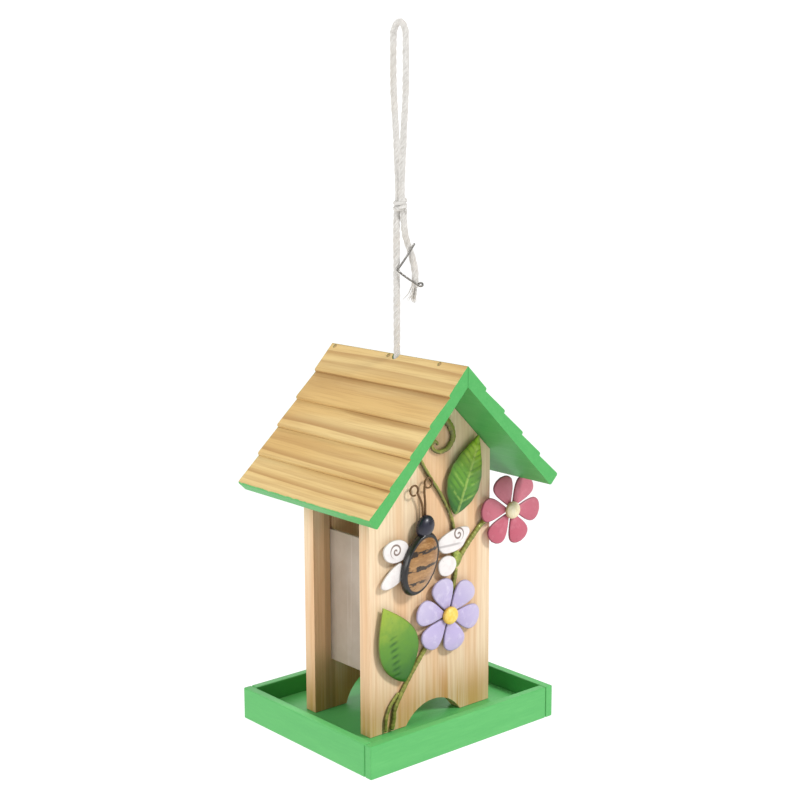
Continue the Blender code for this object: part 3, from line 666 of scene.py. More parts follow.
# ------------------------------------------------------------
# Roof.  Two panels of pine, each milled in five lapped courses with the grain along the ridge,
# mitred together at the top.  The upper face is left bare; the ends, eaves and underside are
# brushed with the tray's green paint, which runs a hair over the arrises.
# ------------------------------------------------------------
ROOF_LOW, ROOF_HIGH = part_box("roof_panel_left")
RIDGE_TOP = ROOF_HIGH[2]
ROOF_HALF_LENGTH = (ROOF_HIGH[1] - ROOF_LOW[1]) / 2
COURSES = 5
COURSE_TONE = colour(198, 162, 100)
LAP_SHADE = colour(120, 84, 46)
ROOF_GREEN_DEEPER = 0.16               # how far all of the roof's green goes towards the darkest green, as a deeper tone


def roof_finish(name, side, pitch_degrees, slope_long, seed):
    """Bare lapped pine above, green paint on the ends, eave and underside.  down is the distance
    down the slope from the ridge and rise the height square to it; the paint lies where the
    surface faces down or along the ridge, and in a narrow wavering margin beside those arrises."""
    pitch = math.radians(pitch_degrees)
    down_way = (side * math.cos(pitch), 0, -math.sin(pitch))
    rise_way = (side * math.sin(pitch), 0, math.cos(pitch))
    material, tree, shader = finish_shader(name, Specular_IOR_Level=0.32)
    here = object_place(tree)
    from_ridge = away_from(here, (0, 0, RIDGE_TOP))
    down, rise = dot(from_ridge, down_way), dot(from_ridge, rise_way)
    along = parts_of(here)[1]
    course = down * (COURSES / slope_long)
    number, share = maths("FLOOR", course), maths("FRACT", course)
    shift = drawn(number + seed)
    board = add(tree, "CombineXYZ", {0: down, 1: rise, 2: shift * 0.05 + along})
    base, height = bare_pine(tree, board, 4.6 * MM, (0.05, -0.07, 0), 10 * MM,
                             colour(217, 191, 133), colour(204, 169, 107),
                             colour(152, 108, 58), 0.72)
    base = mixed(ramp(shift, 0, 1, 0.0, 0.2), base, COURSE_TONE)
    base = mixed(ramp(share, 0.03, 0.0, 0, 0.4), base, LAP_SHADE)
    green, _, green_height = green_coat(tree, 1, ROOF_GREEN_DEEPER)
    facing = facing_of(tree)
    end_face = ramp(abs(dot(facing, (0, 1, 0))), 0.5, 0.6)
    under = ramp(dot(facing, rise_way), -0.3, -0.4)
    waver = noise(here, 260, 3) * (1.3 * MM)
    end_margin = ramp(ROOF_HALF_LENGTH - (abs(along) - waver), 0.95 * MM, 0.55 * MM) * 0.85
    eave = ramp(down + waver, slope_long - 0.4 * MM, slope_long + 0.2 * MM)
    mask = maths("MAXIMUM", maths("MAXIMUM", end_face, under), maths("MAXIMUM", end_margin, eave))
    feed(shader, Base_Color=mixed(mask, base, green), Roughness=ramp(mask, 0, 1, 0.58, 0.46),
         Normal=bumped(height + green_height * 0.3, 0.2 * MM, 0.5))
    return material


dress("roof_panel_left", roof_finish("roof_finish_left", -1, 46.5, 121 * MM, 3.0))
dress("roof_panel_right", roof_finish("roof_finish_right", 1, 44.7, 118.7 * MM, 11.0))


# ------------------------------------------------------------
# Stems.  Soft iron wire, bent by hand, soldered at the fork and brushed olive green, with the
# paint rubbed thin to a brassy yellow in patches.  The sides facing up towards the key light
# carry a painted highlight, and those turned away a painted shade.
# ------------------------------------------------------------
def depth_of(name):
    """Depth (y) of the middle of a CAD node."""
    low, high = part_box(name)
    return (low[1] + high[1]) / 2


WIRE_Y = depth_of("stem_lower")
STEM_SWELL = 1.3                 # what the paint and solder add to a stem's bare radius
# each stem: its route in x and height, then its bare radius at the start and at the end; for the
# curl, its radius at the ends and what its flattened middle adds
STEMS = {
    "stem_lower": (((-36.8, 11.5), (-35, 18), (-33.2, 27), (-22, 43.5), (-6, 62.5), (5, 75.5),
                    (15.5, 89), (19.5, 104), (21, 111.9)), 1.3, 1.3),
    "stem_root": (((-42, 11.5), (-41.6, 20), (-38.5, 27.5), (-34, 32.6), (-30.6, 35.9)), 1.0, 0.9),
    "stem_upper": (((20.2, 125.6), (19.2, 132), (18.8, 140), (16, 150), (7.5, 165), (-3, 179.5),
                    (-11, 192), (-14.6, 204)), 1.0, 1.0),
    "stem_curl": (((-14.4, 204.9), (-13.6, 210), (-9, 216.5), (-1, 220), (8, 218), (15.5, 211),
                   (17.8, 203), (13.5, 196.5), (6, 194.8), (0.6, 197.2), (-0.8, 200.2),
                   (1.0, 202.4), (3.6, 201.6), (4.0, 199.6)), 1.1, 1.6),
    "stem_branch": (((21.6, 114.6), (24.2, 118.6), (28, 123.2), (34.5, 129.8), (45, 139),
                     (56, 143.6)), 1.45, 1.35),
}

worn_metal, ends_in, ends_out = effect(
    "Worn metal paint", {"Vector": None, "Scale": 300.0}, ("Mottle", "Chip", "Height"))
mottle = noise(ends_in["Vector"], ends_in["Scale"], 4, 0.6, 0.3)
chip = noise(ends_in["Vector"], ends_in["Scale"] * 2.7, 3, 0.65)
feed(ends_out, Mottle=mottle, Chip=ramp(chip, 0.62, 0.72), Height=mottle + chip * 0.4)


def wear_of(tree, scale):
    """Mottle, chips and height of worn paint, finer as the scale grows."""
    return use(tree, worn_metal, Vector=object_place(tree), Scale=scale)


def worn_coat(shader, wear, base, rough, depth, strength):
    """Paint over metal: rough holds its roughness where the mottle is low and where it is high,
    and the wear stands up by a depth in metres."""
    feed(shader, Base_Color=base, Roughness=ramp(wear["Mottle"], 0.3, 0.7, *rough),
         Normal=bumped(wear["Height"], depth, strength))


olive, tree, shader = finish_shader("olive_wire", Specular_IOR_Level=0.5, Metallic=0.15)
wear = wear_of(tree, 260.0)
# painted highlight on faces turned up towards the key light, painted shade on those turned away
lit_share = ramp(dot(facing_of(tree), (0.35, -0.35, 0.87)), -0.5, 0.9)
base = mixed(lit_share, colour(74, 72, 28), colour(152, 156, 72))
base = mixed(ramp(wear["Mottle"], 0.5, 0.7, 0, 0.6), base, colour(176, 170, 84))
base = mixed(wear["Chip"], base, colour(84, 56, 26))
worn_coat(shader, wear, base, (0.3, 0.5), 0.25 * MM, 0.6)


def on_wall(points, y):
    """Points (x, height over the tray's underside) in millimetres, on an upright plane."""
    p = np.asarray(points, float) * MM
    return np.stack((p[:, 0], np.full(len(p), y), p[:, 1] + BASE), -1)


def wire(path, thick, sides=16, squash=1.0, wobble=0.05):
    """Round bar along a path: its radius wavers by two sines of the distance, and its depth off
    the wall is squash times its width."""
    run = run_along(path) / MM
    size = thick * (1 + wobble * np.sin(run * 0.9) + wobble * np.sin(run * 2.3 + 1))
    size = size[:, None] * np.ones((1, sides))
    taper = np.clip(np.minimum(run, run[-1] - run)[:, None] / 0.8, 0, 1)
    size = size * (0.55 + 0.45 * np.sqrt(taper))
    grid = sweep(path, size * MM, sides, (0, 1, 0))
    middle = path[:, None, 1]
    grid[..., 1] = middle + (grid[..., 1] - middle) * squash
    return grid


for name, (route, start, end) in STEMS.items():
    path = smooth_path(on_wall(route, WIRE_Y), 0.6 * MM)
    share = np.linspace(0, 1, len(path))
    if name == "stem_curl":
        thick, squash = start + end * np.exp(-((share - 0.46) / 0.26) ** 2), 0.62
    else:
        thick, squash = (start + (end - start) * share) * STEM_SWELL, 0.8
    fit(skin("painted_" + name, wire(path, thick, squash=squash)), olive, "feeder", "olive", name)


# ------------------------------------------------------------
# Leaves, bud and petals.  Each is pressed from thin steel sheet: the blade is crowned, its
# veins stand up, and the cut rim is left dark.  They are held off the gable by pins.
# ------------------------------------------------------------
PLATE_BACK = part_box("leaf_upper")[1][1]


def crowned(outline, middle, back, thick, crown, rows=12):
    """Closed plate from its outline (n, 2): rings run from the middle out to the outline on the
    front and back in on the back.  Front height = thick * lift + crown * (1 - f ** 2), where f is
    the share of the way out and lift rounds off the rim; place holds f, the angle's share and
    the side."""
    f = np.concatenate((np.linspace(0.06, 0.9, rows), (0.95, 0.985, 1.0, 1.0, 0.985, 0.93),
                        np.linspace(0.8, 0.06, 6)))
    front = rows + 3
    lift = np.concatenate((np.ones(rows), (0.93, 0.72, 0.3)))
    height = np.zeros(len(f))
    height[:front] = thick * lift + crown * (1 - f[:front] ** 2)
    height[front] = 0.25 * thick
    ring = middle + (outline - middle) * f[:, None, None]
    side = np.where(np.arange(len(f)) < front, 0.0, 1.0)
    turn = np.linspace(0, 1, len(outline), endpoint=False)
    return (joined(ring[..., 0], back - height[:, None], ring[..., 1]),
            joined(f[:, None], turn, side[:, None]))


# the lower leaf's row of dints leans off its middle line, which it meets at DINT_END
DINT_END, DINT_LEAN = 0.71, 9.5 * MM
LEAF_CROWN = 1.6                 # millimetres that the middle stands over the rim
VEIN_SLANT = 1.05                # how far forward a vein runs by the rim, in gaps between veins
LEAF_OVAL = 0.8                  # below 1 the leaf is widest past the middle of its length


def leaf(base, tip, left, right, veins, dimpled):
    """Closed leaf: t runs from base to tip and s across it.  Half-width = width * sin(pi t^0.8),
    and the front stands at thickness + crown * (1 - s^2), with a raised midrib and raised veins
    that slant forward from it, or with a row of dints."""
    base, tip = np.array(base) * MM, np.array(tip) * MM
    axis = tip - base
    across = np.array((-axis[1], axis[0])) / np.linalg.norm(axis)
    t = np.linspace(0.004, 0.996, 110)[:, None]
    s = np.concatenate((np.sin(np.linspace(-np.pi / 2, np.pi / 2, 61)),
                        np.linspace(0.96, -0.96, 13)))
    is_front = np.concatenate((np.ones(61), np.zeros(13)))
    oval = np.sin(np.pi * t ** LEAF_OVAL)
    half = np.where(s > 0, left, right) * MM * oval
    notch = 1 + 0.018 * (1 - dimpled) * np.sin(2 * np.pi * t * veins) * np.abs(s) ** 6
    flat = base + axis * t[..., None] + across * (half * s * notch)[..., None]
    rib = np.exp(-(s * half / (0.9 * MM)) ** 2) * (1 - dimpled)
    phase = t * veins - np.abs(s) * VEIN_SLANT * oval
    vein = (np.exp(-((phase - np.round(phase)) / 0.14) ** 2) * np.clip(1 - np.abs(s) ** 3, 0, 1)
            * (1 - dimpled))
    dint = (dimpled * np.exp(-((t * veins - np.round(t * veins)) / 0.17) ** 2)
            * np.exp(-((s * half - (DINT_END - t) * DINT_LEAN) / (2.6 * MM)) ** 2)
            * ((t > 0.13) & (t < 0.62)))
    edge = np.sqrt(np.clip(1 - np.abs(s) ** 8, 0, 1))
    raised = LEAF_CROWN * (1 - s ** 2) + 0.45 * rib + 0.28 * vein * edge - 0.55 * dint
    front = 0.3 * MM + 0.9 * MM * edge + np.clip(oval * 3, 0, 1) * MM * raised
    return (joined(flat[..., 0], PLATE_BACK - front * is_front, flat[..., 1] + BASE),
            joined(t, s, is_front))


LEAF_VEIN, LEAF_SHADE, LEAF_DINT_SHADE = colour(184, 204, 104), colour(26, 78, 26), colour(34, 84, 26)
LEAF_FOOT, LEAF_RIM, LEAF_CHIP = colour(52, 100, 38), colour(104, 96, 44), colour(70, 110, 36)


def leaf_paint(name, foot, middle, top, veins, dimpled):
    """Paint graded from the foot of the leaf to its tip, pale on the veins, and bare at the rim,
    with painted shade in the dints, in the hollows between the veins and towards the sides."""
    material, tree, shader = finish_shader(name, Specular_IOR_Level=0.5)
    t, s, _ = parts_of(place_of(tree))
    wear = wear_of(tree, 190.0)
    graded = t + (wear["Mottle"] - 0.5) * 0.35
    base = mixed(ramp(graded, 0.05, 0.5), foot, middle)
    base = mixed(ramp(graded, 0.45, 0.95), base, top)
    across = abs(s)
    oval = maths("SINE", t ** LEAF_OVAL * math.pi)
    if dimpled:
        row = (DINT_END - t) * (DINT_LEAN / (13.8 * MM))
        # painted shade in the dints
        dint = ramp(off_whole(t * veins), 0.34, 0.08) * ramp(abs(s * oval - row), 0.34, 0.06)
        dint = dint * (ramp(t, 0.11, 0.16) * ramp(t, 0.64, 0.58))
        base = mixed(dint * 0.7, base, LEAF_DINT_SHADE)
        base = mixed(ramp(t, 0.3, 0.0, 0, 0.45), base, LEAF_FOOT)
    else:
        near = off_whole(t * veins - across * VEIN_SLANT * oval)
        vein = ramp(near, 0.13, 0.03) * ramp(across, 0.95, 0.6)
        rib = ramp(across * oval, 0.1, 0.03)
        patchy = ramp(wear["Mottle"], 0.38, 0.6)
        base = mixed(maths("MAXIMUM", vein * (patchy * 0.34), rib * 0.42), base, LEAF_VEIN)
        # painted shade in the hollows between the veins, and next towards the sides
        hollow_shade = ramp(near, 0.12, 0.26) * ramp(near, 0.42, 0.26)
        base = mixed(hollow_shade * (patchy * 0.5), base, LEAF_SHADE)
        base = mixed(ramp(across, 0.6, 0.95, 0, 0.35), base, LEAF_SHADE)
    base = mixed(ramp(across, 0.94, 0.99, 0, 0.75), base, LEAF_RIM)
    base = mixed(wear["Chip"] * 0.35, base, LEAF_CHIP)
    worn_coat(shader, wear, base, (0.34, 0.52), 0.2 * MM, 0.4)
    return material


# each leaf: its base and tip, its half-widths left and right of the middle line, its count of
# veins or dints, its paints from foot to tip, and 1 if it is dimpled
LEAVES = {
    "leaf_upper": ((17.8, 150.5), (39.6, 202.4), 16.0, 15.0, 6.0,
                   (colour(44, 104, 28), colour(94, 148, 36), colour(166, 196, 54)), 0.0),
    "leaf_lower": ((-27.0, 43.5), (-45.5, 98.5), 13.8, 20.5, 13.0,
                   (colour(46, 106, 22), colour(86, 138, 36), colour(146, 170, 56)), 1.0),
}
for name, (base, tip, left, right, veins, paints, dimpled) in LEAVES.items():
    grid, place = leaf(base, tip, left, right, veins, dimpled)
    fit(skin("pressed_" + name, grid, place=[place]),
        leaf_paint("paint_" + name, *paints, veins, dimpled), "feeder", "leaf_green", name)

BUD_OUTLINE = np.array(((19.2, 112.8), (23.2, 113.2), (26.8, 119.2), (24.6, 122.6), (21.6, 124.6),
                        (18.8, 124.4), (17.6, 118.5)))


def rounded(outline, count):
    """Closed smooth outline through a few corners."""
    p = np.vstack((outline[-1:], outline, outline[:2]))
    ring = smooth_path(np.column_stack((p, np.zeros(len(p)))), 0.05)[:, :2]
    a = np.argmin(np.linalg.norm(ring[: len(ring) // 3] - outline[0], axis=1))
    b = len(ring) // 2 + np.argmin(np.linalg.norm(ring[len(ring) // 2:] - outline[0], axis=1))
    pick = np.linspace(a, b, count, endpoint=False).astype(int)
    return ring[pick]


bud_ring = rounded(BUD_OUTLINE, 40) * MM + (0, BASE)
grid, place = crowned(bud_ring, bud_ring.mean(0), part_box("stem_bud")[1][1], 2.0 * MM, 0.9 * MM,
                      rows=8)
bud_paint, tree, shader = finish_shader("bud_paint", Specular_IOR_Level=0.5)
wear = wear_of(tree, 240.0)
base = mixed(ramp(wear["Mottle"], 0.35, 0.65), colour(120, 140, 52), colour(182, 188, 92))
base = mixed(wear["Chip"] * 0.6, base, colour(92, 70, 30))
worn_coat(shader, wear, base, (0.34, 0.5), 0.25 * MM, 0.5)
fit(skin("pressed_bud", grid, place=[place]), bud_paint, "feeder", "leaf_green", "stem_bud")


# ------------------------------------------------------------
# Flowers.  Six crowned petals pressed from one sheet round a domed middle.  The paint is blown
# on, deeper towards the petals' ends on one side, and the rims stay dark.
# ------------------------------------------------------------
PETAL_INNER, PETAL_OUTER = 4.6, 26.8      # distances from the flower's middle, in millimetres
PETAL_WIDEST, PETAL_MIDDLE = 18.6, 17.6
PETAL_WIDE = 9.3                          # half the petal's width
PETAL_THICK, PETAL_CROWN = 1.2 * MM, 1.3 * MM
PETAL_STEP = 0.12 * MM                    # every second petal stands this much further out
FLOWER_WIDER = np.array((1.1, 1.0))       # a flower is wider than it is high


def petals(centre, phase, size, back, gap):
    """Six closed plates, turned in steps of sixty degrees.  A petal's half-width at a distance r
    from the flower's middle is the lesser, rounded together by a sixth-power mean, of an oval
    that rounds off the outer third and of the wedge r * tan 30 - gap."""
    grids, places = [], []
    a = np.linspace(0, 2 * np.pi, 64, endpoint=False)
    half = (PETAL_OUTER - PETAL_INNER) / 2
    r = PETAL_INNER + half + half * np.cos(a)
    out = np.clip((r - PETAL_WIDEST) / (PETAL_OUTER - PETAL_WIDEST), 0, 1)
    oval = PETAL_WIDE * np.sqrt(1 - out ** 2.1) * np.clip(np.abs(np.sin(a)) * 3, 0, 1) + 1e-6
    wedge = np.maximum(r * math.tan(math.radians(30)) - gap, 0.4)
    wide = (oval ** -6 + wedge ** -6) ** (-1 / 6) * np.sign(np.sin(a))
    egg = np.stack((np.append(r, PETAL_MIDDLE), np.append(wide, 0)), -1) * size
    for k in range(6):
        turn = math.radians(phase + 60 * k)
        spin = np.array(((math.cos(turn), math.sin(turn)), (-math.sin(turn), math.cos(turn))))
        petal = (egg @ spin * FLOWER_WIDER + centre) * MM + (0, BASE)
        grid, place = crowned(petal[:-1], petal[-1], back - PETAL_STEP * (k % 2), PETAL_THICK,
                              PETAL_CROWN)
        place[..., 2] += 0.01 * k
        grids.append(grid)
        places.append(place)
    return grids, places


def petal_paint(name, centre, pale, deep, lower, rim, pale_spots):
    """Paint that deepens away from the middle and towards one side of the flower."""
    material, tree, shader = finish_shader(name, Specular_IOR_Level=0.5)
    wear = wear_of(tree, 170.0)
    middle = (centre[0] * MM, 0, centre[1] * MM + BASE)
    out = vector_maths("MULTIPLY", away_from(object_place(tree), middle), (1, 0, 1))
    waver = (wear["Mottle"] - 0.5) * (12 * MM)
    base = mixed(ramp(length_of(out) + waver, 7 * MM, 28 * MM), pale, deep)
    base = mixed(ramp(parts_of(out)[2] + waver, 12 * MM, -22 * MM, 0, 0.75), base, lower)
    base = mixed(ramp(wear["Mottle"], 0.5, 0.72, 0, 0.45), base, pale_spots)
    base = mixed(ramp(parts_of(place_of(tree))[0], 0.92, 0.98, 0, 0.6), base, rim)
    base = mixed(wear["Chip"] * 0.2, base, rim)
    worn_coat(shader, wear, base, (0.36, 0.55), 0.2 * MM, 0.4)
    return material


def dome(centre, long_half, wide_half, turn, back, rise, rim, columns=64, rows=22, lip=0.0):
    """Closed dome with a flat back.  f is the share of the way out: height = rim + (rise - rim) *
    sqrt(1 - f^2), and lip lifts a roll along the rim.  place holds the two shares along the oval's
    own axes and f."""
    a = np.linspace(0, 2 * np.pi, columns, endpoint=False)
    f = np.concatenate((np.sin(np.linspace(0.05, np.pi / 2, rows)), (1.0, 0.96, 0.5, 0.1)))
    height = rim + (rise - rim) * np.sqrt(np.clip(1 - f ** 2, 0, 1))
    height[:rows] += lip * np.exp(-((f[:rows] - 0.93) / 0.05) ** 2)
    height[rows:] = (0.35 * rim, 0, 0, 0)
    height[rows - 1] = rim * 0.8
    u = f[:, None] * np.cos(a)[None]
    v = f[:, None] * np.sin(a)[None]
    x = centre[0] + (u * long_half * math.cos(turn) - v * wide_half * math.sin(turn))
    z = centre[1] + (u * long_half * math.sin(turn) + v * wide_half * math.cos(turn))
    return joined(x * MM, back - height[:, None] * MM, z * MM + BASE), joined(u, v, f[:, None])


def middle_paint(name, low, high, shade):
    """Stippled paint on a flower's middle, with painted shade down in the stipples and round the
    rim.
    """
    material, tree, shader = finish_shader(name, Roughness=0.5, Specular_IOR_Level=0.45)
    out = parts_of(place_of(tree))[2]
    stipple = add(tree, "TexVoronoi", {"Vector": object_place(tree), "Scale": 620.0},
                  feature="SMOOTH_F1")
    wear = wear_of(tree, 320.0)
    base = mixed(ramp(wear["Mottle"], 0.35, 0.65), low, high)
    # painted shade in the stipples and round the rim
    base = mixed(ramp(stipple, 0.4, 0.8, 0, 0.2), base, shade)
    base = mixed(ramp(out, 0.9, 1.0, 0, 0.7), base, shade)
    feed(shader, Base_Color=base, Normal=bumped(stipple, 0.35 * MM, 0.6))
    return material


# each flower: its middle in x and height, the turn of its first petal, its size, its finishes,
# its petals' paints (pale, deep, lower, rim, pale spots), the gap between petals, and its
# middle's paints (low, high, shade)
FLOWERS = {
    "purple_flower": ((11.6, 81.7), -16, 1.0, "lilac", "yellow",
                      (colour(178, 166, 206), colour(194, 184, 212), colour(186, 172, 214),
                       colour(140, 128, 162), colour(222, 214, 232)), 0.5,
                      (colour(240, 200, 84), colour(244, 214, 118), colour(208, 158, 60))),
    "pink_flower": ((70.1, 145.2), -9, 0.97, "rose", "cream",
                    (colour(194, 108, 124), colour(180, 98, 112), colour(188, 80, 102),
                     colour(110, 44, 60), colour(206, 128, 142)), 0.85,
                    (colour(226, 212, 172), colour(236, 226, 196), colour(190, 166, 112))),
}
for name, (centre, phase, size, petal_slot, middle_slot, paints, gap, middles) in FLOWERS.items():
    grids, places = petals(centre, phase, size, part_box(name + "_petals")[1][1], gap)
    fit(skin("pressed_" + name, *grids, place=places),
        petal_paint("paint_" + name, centre, *paints), "feeder", petal_slot, name + "_petals")
    grid, place = dome(centre, 6.4, 6.1, 0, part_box(name + "_middle")[1][1], 4.2, 1.2)
    fit(skin(name + "_button", grid, place=[place]),
        middle_paint("paint_middle_" + name, *middles), "feeder", middle_slot, name + "_middle")


# ------------------------------------------------------------
# Bee.  A pressed oval body with a rolled rim, a round head, four flat wings behind them and two
# feelers of thin wire, all painted by hand: brown stripes on amber, and a scroll on each wing.
# ------------------------------------------------------------
BEE_CENTRE, BEE_TURN = (-16.2, 123.6), math.radians(64)
BEE_LONG, BEE_WIDE, BEE_RISE = 22.2, 13.6, 7.5    # half its length and width, and its height
HEAD_CENTRE, HEAD_TURN = (-11.0, 147.9), 0.9
HEAD_LONG, HEAD_WIDE, HEAD_RISE = 7.9, 6.8, 6.0
STRIPES, STRIPE_SHIFT, STRIPE_SLANT = 1.95, 0.12, 0.75
BEE_DARK, BEE_STRIPE, BEE_RIM = colour(98, 62, 30), colour(26, 20, 16), colour(18, 17, 18)
grid, place = dome(BEE_CENTRE, BEE_LONG, BEE_WIDE, BEE_TURN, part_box("bee_body")[1][1], BEE_RISE,
                   1.4, 96, 40, lip=0.9)
bee_paint, tree, shader = finish_shader("bee_paint", Specular_IOR_Level=0.55,
                                        Coat_Weight=0.25, Coat_Roughness=0.2)
along, across, out = parts_of(place_of(tree))
wear = wear_of(tree, 210.0)
brush = noise(stretched(object_place(tree), (160, 160, 420)), 1, 3, 0.6)
base = mixed(ramp(along, -0.2, 0.7), colour(160, 118, 72), colour(140, 94, 38))
base = mixed(ramp(brush, 0.45, 0.72, 0, 0.7), base, colour(192, 146, 94))
base = mixed(ramp(brush, 0.42, 0.3, 0, 0.5), base, BEE_DARK)
waver = (wear["Mottle"] - 0.5) * 0.22
band = (along + waver) * STRIPES + STRIPE_SHIFT + across * STRIPE_SLANT
half_stripe = across * 0.09 + 0.14
stripe = maths("DIVIDE", half_stripe - off_whole(band), 0.04, clamp=True)
broken = noise(stretched(object_place(tree), (120, 120, 190), (0.3, 0, 0)), 1, 2)
base = mixed(stripe * ramp(broken, 0.36, 0.46) * 0.93, base, BEE_STRIPE)
base = mixed(ramp(out, 0.82, 0.86), base, BEE_RIM)
worn_coat(shader, wear, base, (0.26, 0.42), 0.2 * MM, 0.35)
fit(skin("bee_shell", grid, place=[place]), bee_paint, "feeder", "amber", "bee_body")

gloss_black, tree, shader = finish_shader("gloss_black", Specular_IOR_Level=0.45,
                                          Coat_Weight=0.25, Coat_Roughness=0.3)
wear = wear_of(tree, 240.0)
# the bluish colour that the mottle mixes into the black is a painted sheen
worn_coat(shader, wear, mixed(wear["Mottle"], colour(10, 10, 14), colour(38, 38, 62)), (0.22, 0.4),
          0.2 * MM, 0.4)
grid, place = dome(HEAD_CENTRE, HEAD_LONG, HEAD_WIDE, HEAD_TURN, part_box("bee_head")[1][1],
                   HEAD_RISE, 1.3, 56, 24)
fit(skin("bee_head_button", grid, place=[place]), gloss_black, "feeder", "black", "bee_head")

# each wing: its corners in x and height, the middle of its scroll, the way (1 or -1) the scroll
# turns, and the height and outer end of its crease
WINGS = {
    "bee_wing_upper_left": (
        ((-23.4, 134.5), (-25, 138.8), (-31, 142), (-38.4, 142), (-44.3, 138.8), (-45.2, 134),
         (-42.2, 129.2), (-36, 126.8), (-29, 127.6), (-24.4, 130.6)), (-35, 135.0), 1, None),
    "bee_wing_upper_right": (
        ((3.2, 134.6), (10.5, 138.6), (20.5, 141), (29.6, 140.2), (31.6, 136.4), (28.2, 131.6),
         (24.4, 126.9), (16, 124.6), (7.4, 125.2), (3.0, 129.6)), (20.3, 136.6), -1, (130.2, 25)),
    "bee_wing_lower_left": (
        ((-29.4, 125.6), (-35, 124.8), (-41.4, 120.6), (-46.2, 115.4), (-47, 111.6),
         (-42.6, 110), (-35, 111.6), (-29, 116)), None, 1, None),
    "bee_wing_lower_right": (
        ((2.8, 118.4), (6.4, 122.2), (12, 123), (17.6, 120.4), (19.2, 115.4), (16, 110.4),
         (10.2, 108.8), (4.6, 111.4)), None, 1, None),
}
SCROLL_PITCH, SCROLL_REACH = 3.3 * MM, 5.2 * MM
SCROLL_BROWN, CREASE_SHADE = colour(96, 64, 44), colour(158, 148, 148)
WING_RIM, WING_CHIP = colour(150, 142, 130), colour(120, 110, 100)


def wing_paint(name, scroll, hand, crease):
    """White enamel, faintly grey in patches, with painted shade along a crease and a brown scroll
    line: a spiral whose distance from its centre grows evenly with its angle."""
    material, tree, shader = finish_shader(name, Specular_IOR_Level=0.5)
    here = object_place(tree)
    wear = wear_of(tree, 150.0)
    base = mixed(ramp(wear["Mottle"], 0.4, 0.75), colour(234, 228, 226), colour(222, 214, 212))
    if scroll:
        from_middle = away_from(here, (scroll[0] * MM, 0, scroll[1] * MM + BASE))
        x, _, z = parts_of(from_middle)
        reach = length_of(vector_maths("MULTIPLY", from_middle, (1, 0, 1)))
        turns = reach / SCROLL_PITCH - maths("ARCTAN2", z, x * float(hand)) / (2 * math.pi)
        line = ramp(off_whole(turns), 0.23, 0.14) * ramp(reach, SCROLL_REACH, 4.8 * MM)
        base = mixed(line * 0.85, base, SCROLL_BROWN)
    if crease:
        # painted shade along the crease between the wing's lobes
        level, end = crease
        x, _, z = parts_of(here)
        line = (ramp(abs(z - (level * MM + BASE)), 1.3 * MM, 0.2 * MM)
                * ramp(x, end * MM, (end - 6) * MM))
        base = mixed(line * 0.6, base, CREASE_SHADE)
    base = mixed(ramp(parts_of(place_of(tree))[0], 0.94, 0.985, 0, 0.6), base, WING_RIM)
    base = mixed(wear["Chip"] * 0.2, base, WING_CHIP)
    worn_coat(shader, wear, base, (0.3, 0.46), 0.2 * MM, 0.3)
    return material


for name, (corners, scroll, hand, crease) in WINGS.items():
    outline = rounded(np.array(corners), 72) * MM + (0, BASE)
    grid, place = crowned(outline, outline.mean(0), PLATE_BACK, 1.2 * MM, 0.7 * MM)
    fit(skin("pressed_" + name, grid, place=[place]),
        wing_paint("paint_" + name, scroll, hand, crease), "feeder", "white", name)

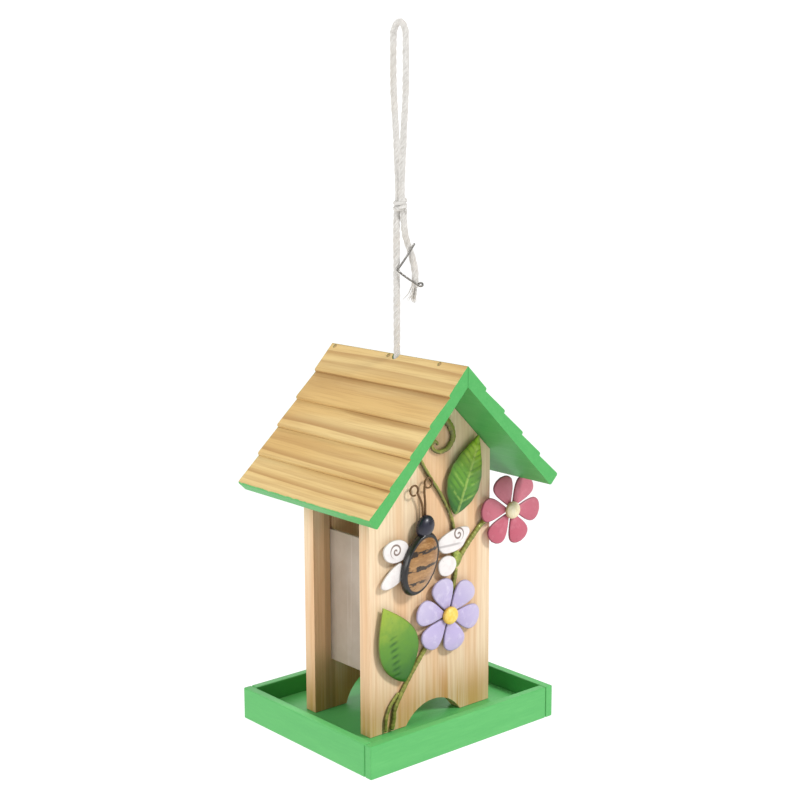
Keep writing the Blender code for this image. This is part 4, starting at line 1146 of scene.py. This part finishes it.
# each feeler: its stem, the middle of the ring it ends in, and the angle where the ring begins
# and how far it goes round
RING_R = 3.4
ANTENNAE = {
    "bee_antenna_left": (((-10.9, 153.5), (-11.4, 161), (-13, 165.8), (-15.3, 170)),
                         (-18.6, 172.8), -40, 340),
    "bee_antenna_right": (((-8.9, 153.5), (-8.9, 163), (-9.6, 170), (-9.5, 174.5)),
                          (-6, 176.2), 205, -340),
}
feeler_wire, tree, shader = finish_shader("feeler_wire", Metallic=0.3, Specular_IOR_Level=0.5)
wear = wear_of(tree, 500.0)
worn_coat(shader, wear, mixed(wear["Mottle"], colour(72, 48, 30), colour(138, 100, 58)),
          (0.35, 0.5), 0.1 * MM, 0.4)
for name, (feeler, loop, start, span) in ANTENNAE.items():
    a = np.radians(start + span * np.linspace(0, 1, 16))
    ring = loop + RING_R * np.stack((np.cos(a), np.sin(a)), -1)
    path = smooth_path(on_wall(np.vstack((feeler, ring)), depth_of(name)), 0.4 * MM)
    grid = wire(path, np.linspace(0.85, 0.6, len(path)), 10, wobble=0.03)
    fit(skin("painted_" + name, grid), feeler_wire, "feeder", "olive", name)


# ------------------------------------------------------------
# Studio.  A white floor some way under the hanging tray, a white surround, a key light far off
# in front of the gable and to its right, a soft lamp on the left, and a weaker one behind.
# ------------------------------------------------------------
FLOOR_DROP = 1.2
a = np.linspace(0, 2 * np.pi, 96, endpoint=False)
rings = np.array((0.5, 2.0, 6.0, 18.0, 60.0))[:, None]
disc = joined(rings * np.cos(a), rings * np.sin(a), BASE - FLOOR_DROP)
studio_floor = skin("studio_floor", disc[::-1], ends=False)
middle = skin("studio_floor_middle", np.stack((disc[0] * (0.001, 0.001, 1), disc[0])), ends=False)
white_floor, tree, shader = finish_shader("white_floor", Roughness=0.8,
                                          Emission_Color=(1, 1, 1, 1), Emission_Strength=0.16)
feed(shader, Base_Color=mixed(noise(object_place(tree), 6, 3), colour(252, 252, 252),
                              colour(255, 255, 255)))
studio_floor.data.materials.append(white_floor)
middle.data.materials.append(white_floor)

world = bpy.data.worlds.new("studio")
bpy.context.scene.world = world
world.use_nodes = True
tree = world.node_tree
seen = add(tree, "LightPath", output="Is Camera Ray")
feed(tree.nodes["Background"], Color=(1, 1, 1, 1), Strength=seen * 0.75 + 0.5)
LIT_MIDDLE = Vector((0, 0, -0.32))


def light(name, kind, azimuth, elevation, distance, energy, **shape):
    """Light round the feeder, turned to face it."""
    data = bpy.data.lights.new(name, kind)
    data.energy = energy
    for key, value in shape.items():
        setattr(data, key, value)
    new = bpy.data.objects.new(name, data)
    way = way_to(azimuth, elevation)
    new.location = LIT_MIDDLE + way * distance
    new.rotation_euler = (-way).to_track_quat("-Z", "Y").to_euler()
    bpy.context.collection.objects.link(new)


light("key", "SUN", 22, 40, 3.0, 2.1, angle=math.radians(11))
light("left_fill", "AREA", -95, 30, 1.9, 20, size=1.2)
light("back_fill", "AREA", 150, 40, 2.0, 12, size=1.2)

bpy.context.scene.view_settings.view_transform = "Standard"
bpy.context.scene.view_settings.look = "None"
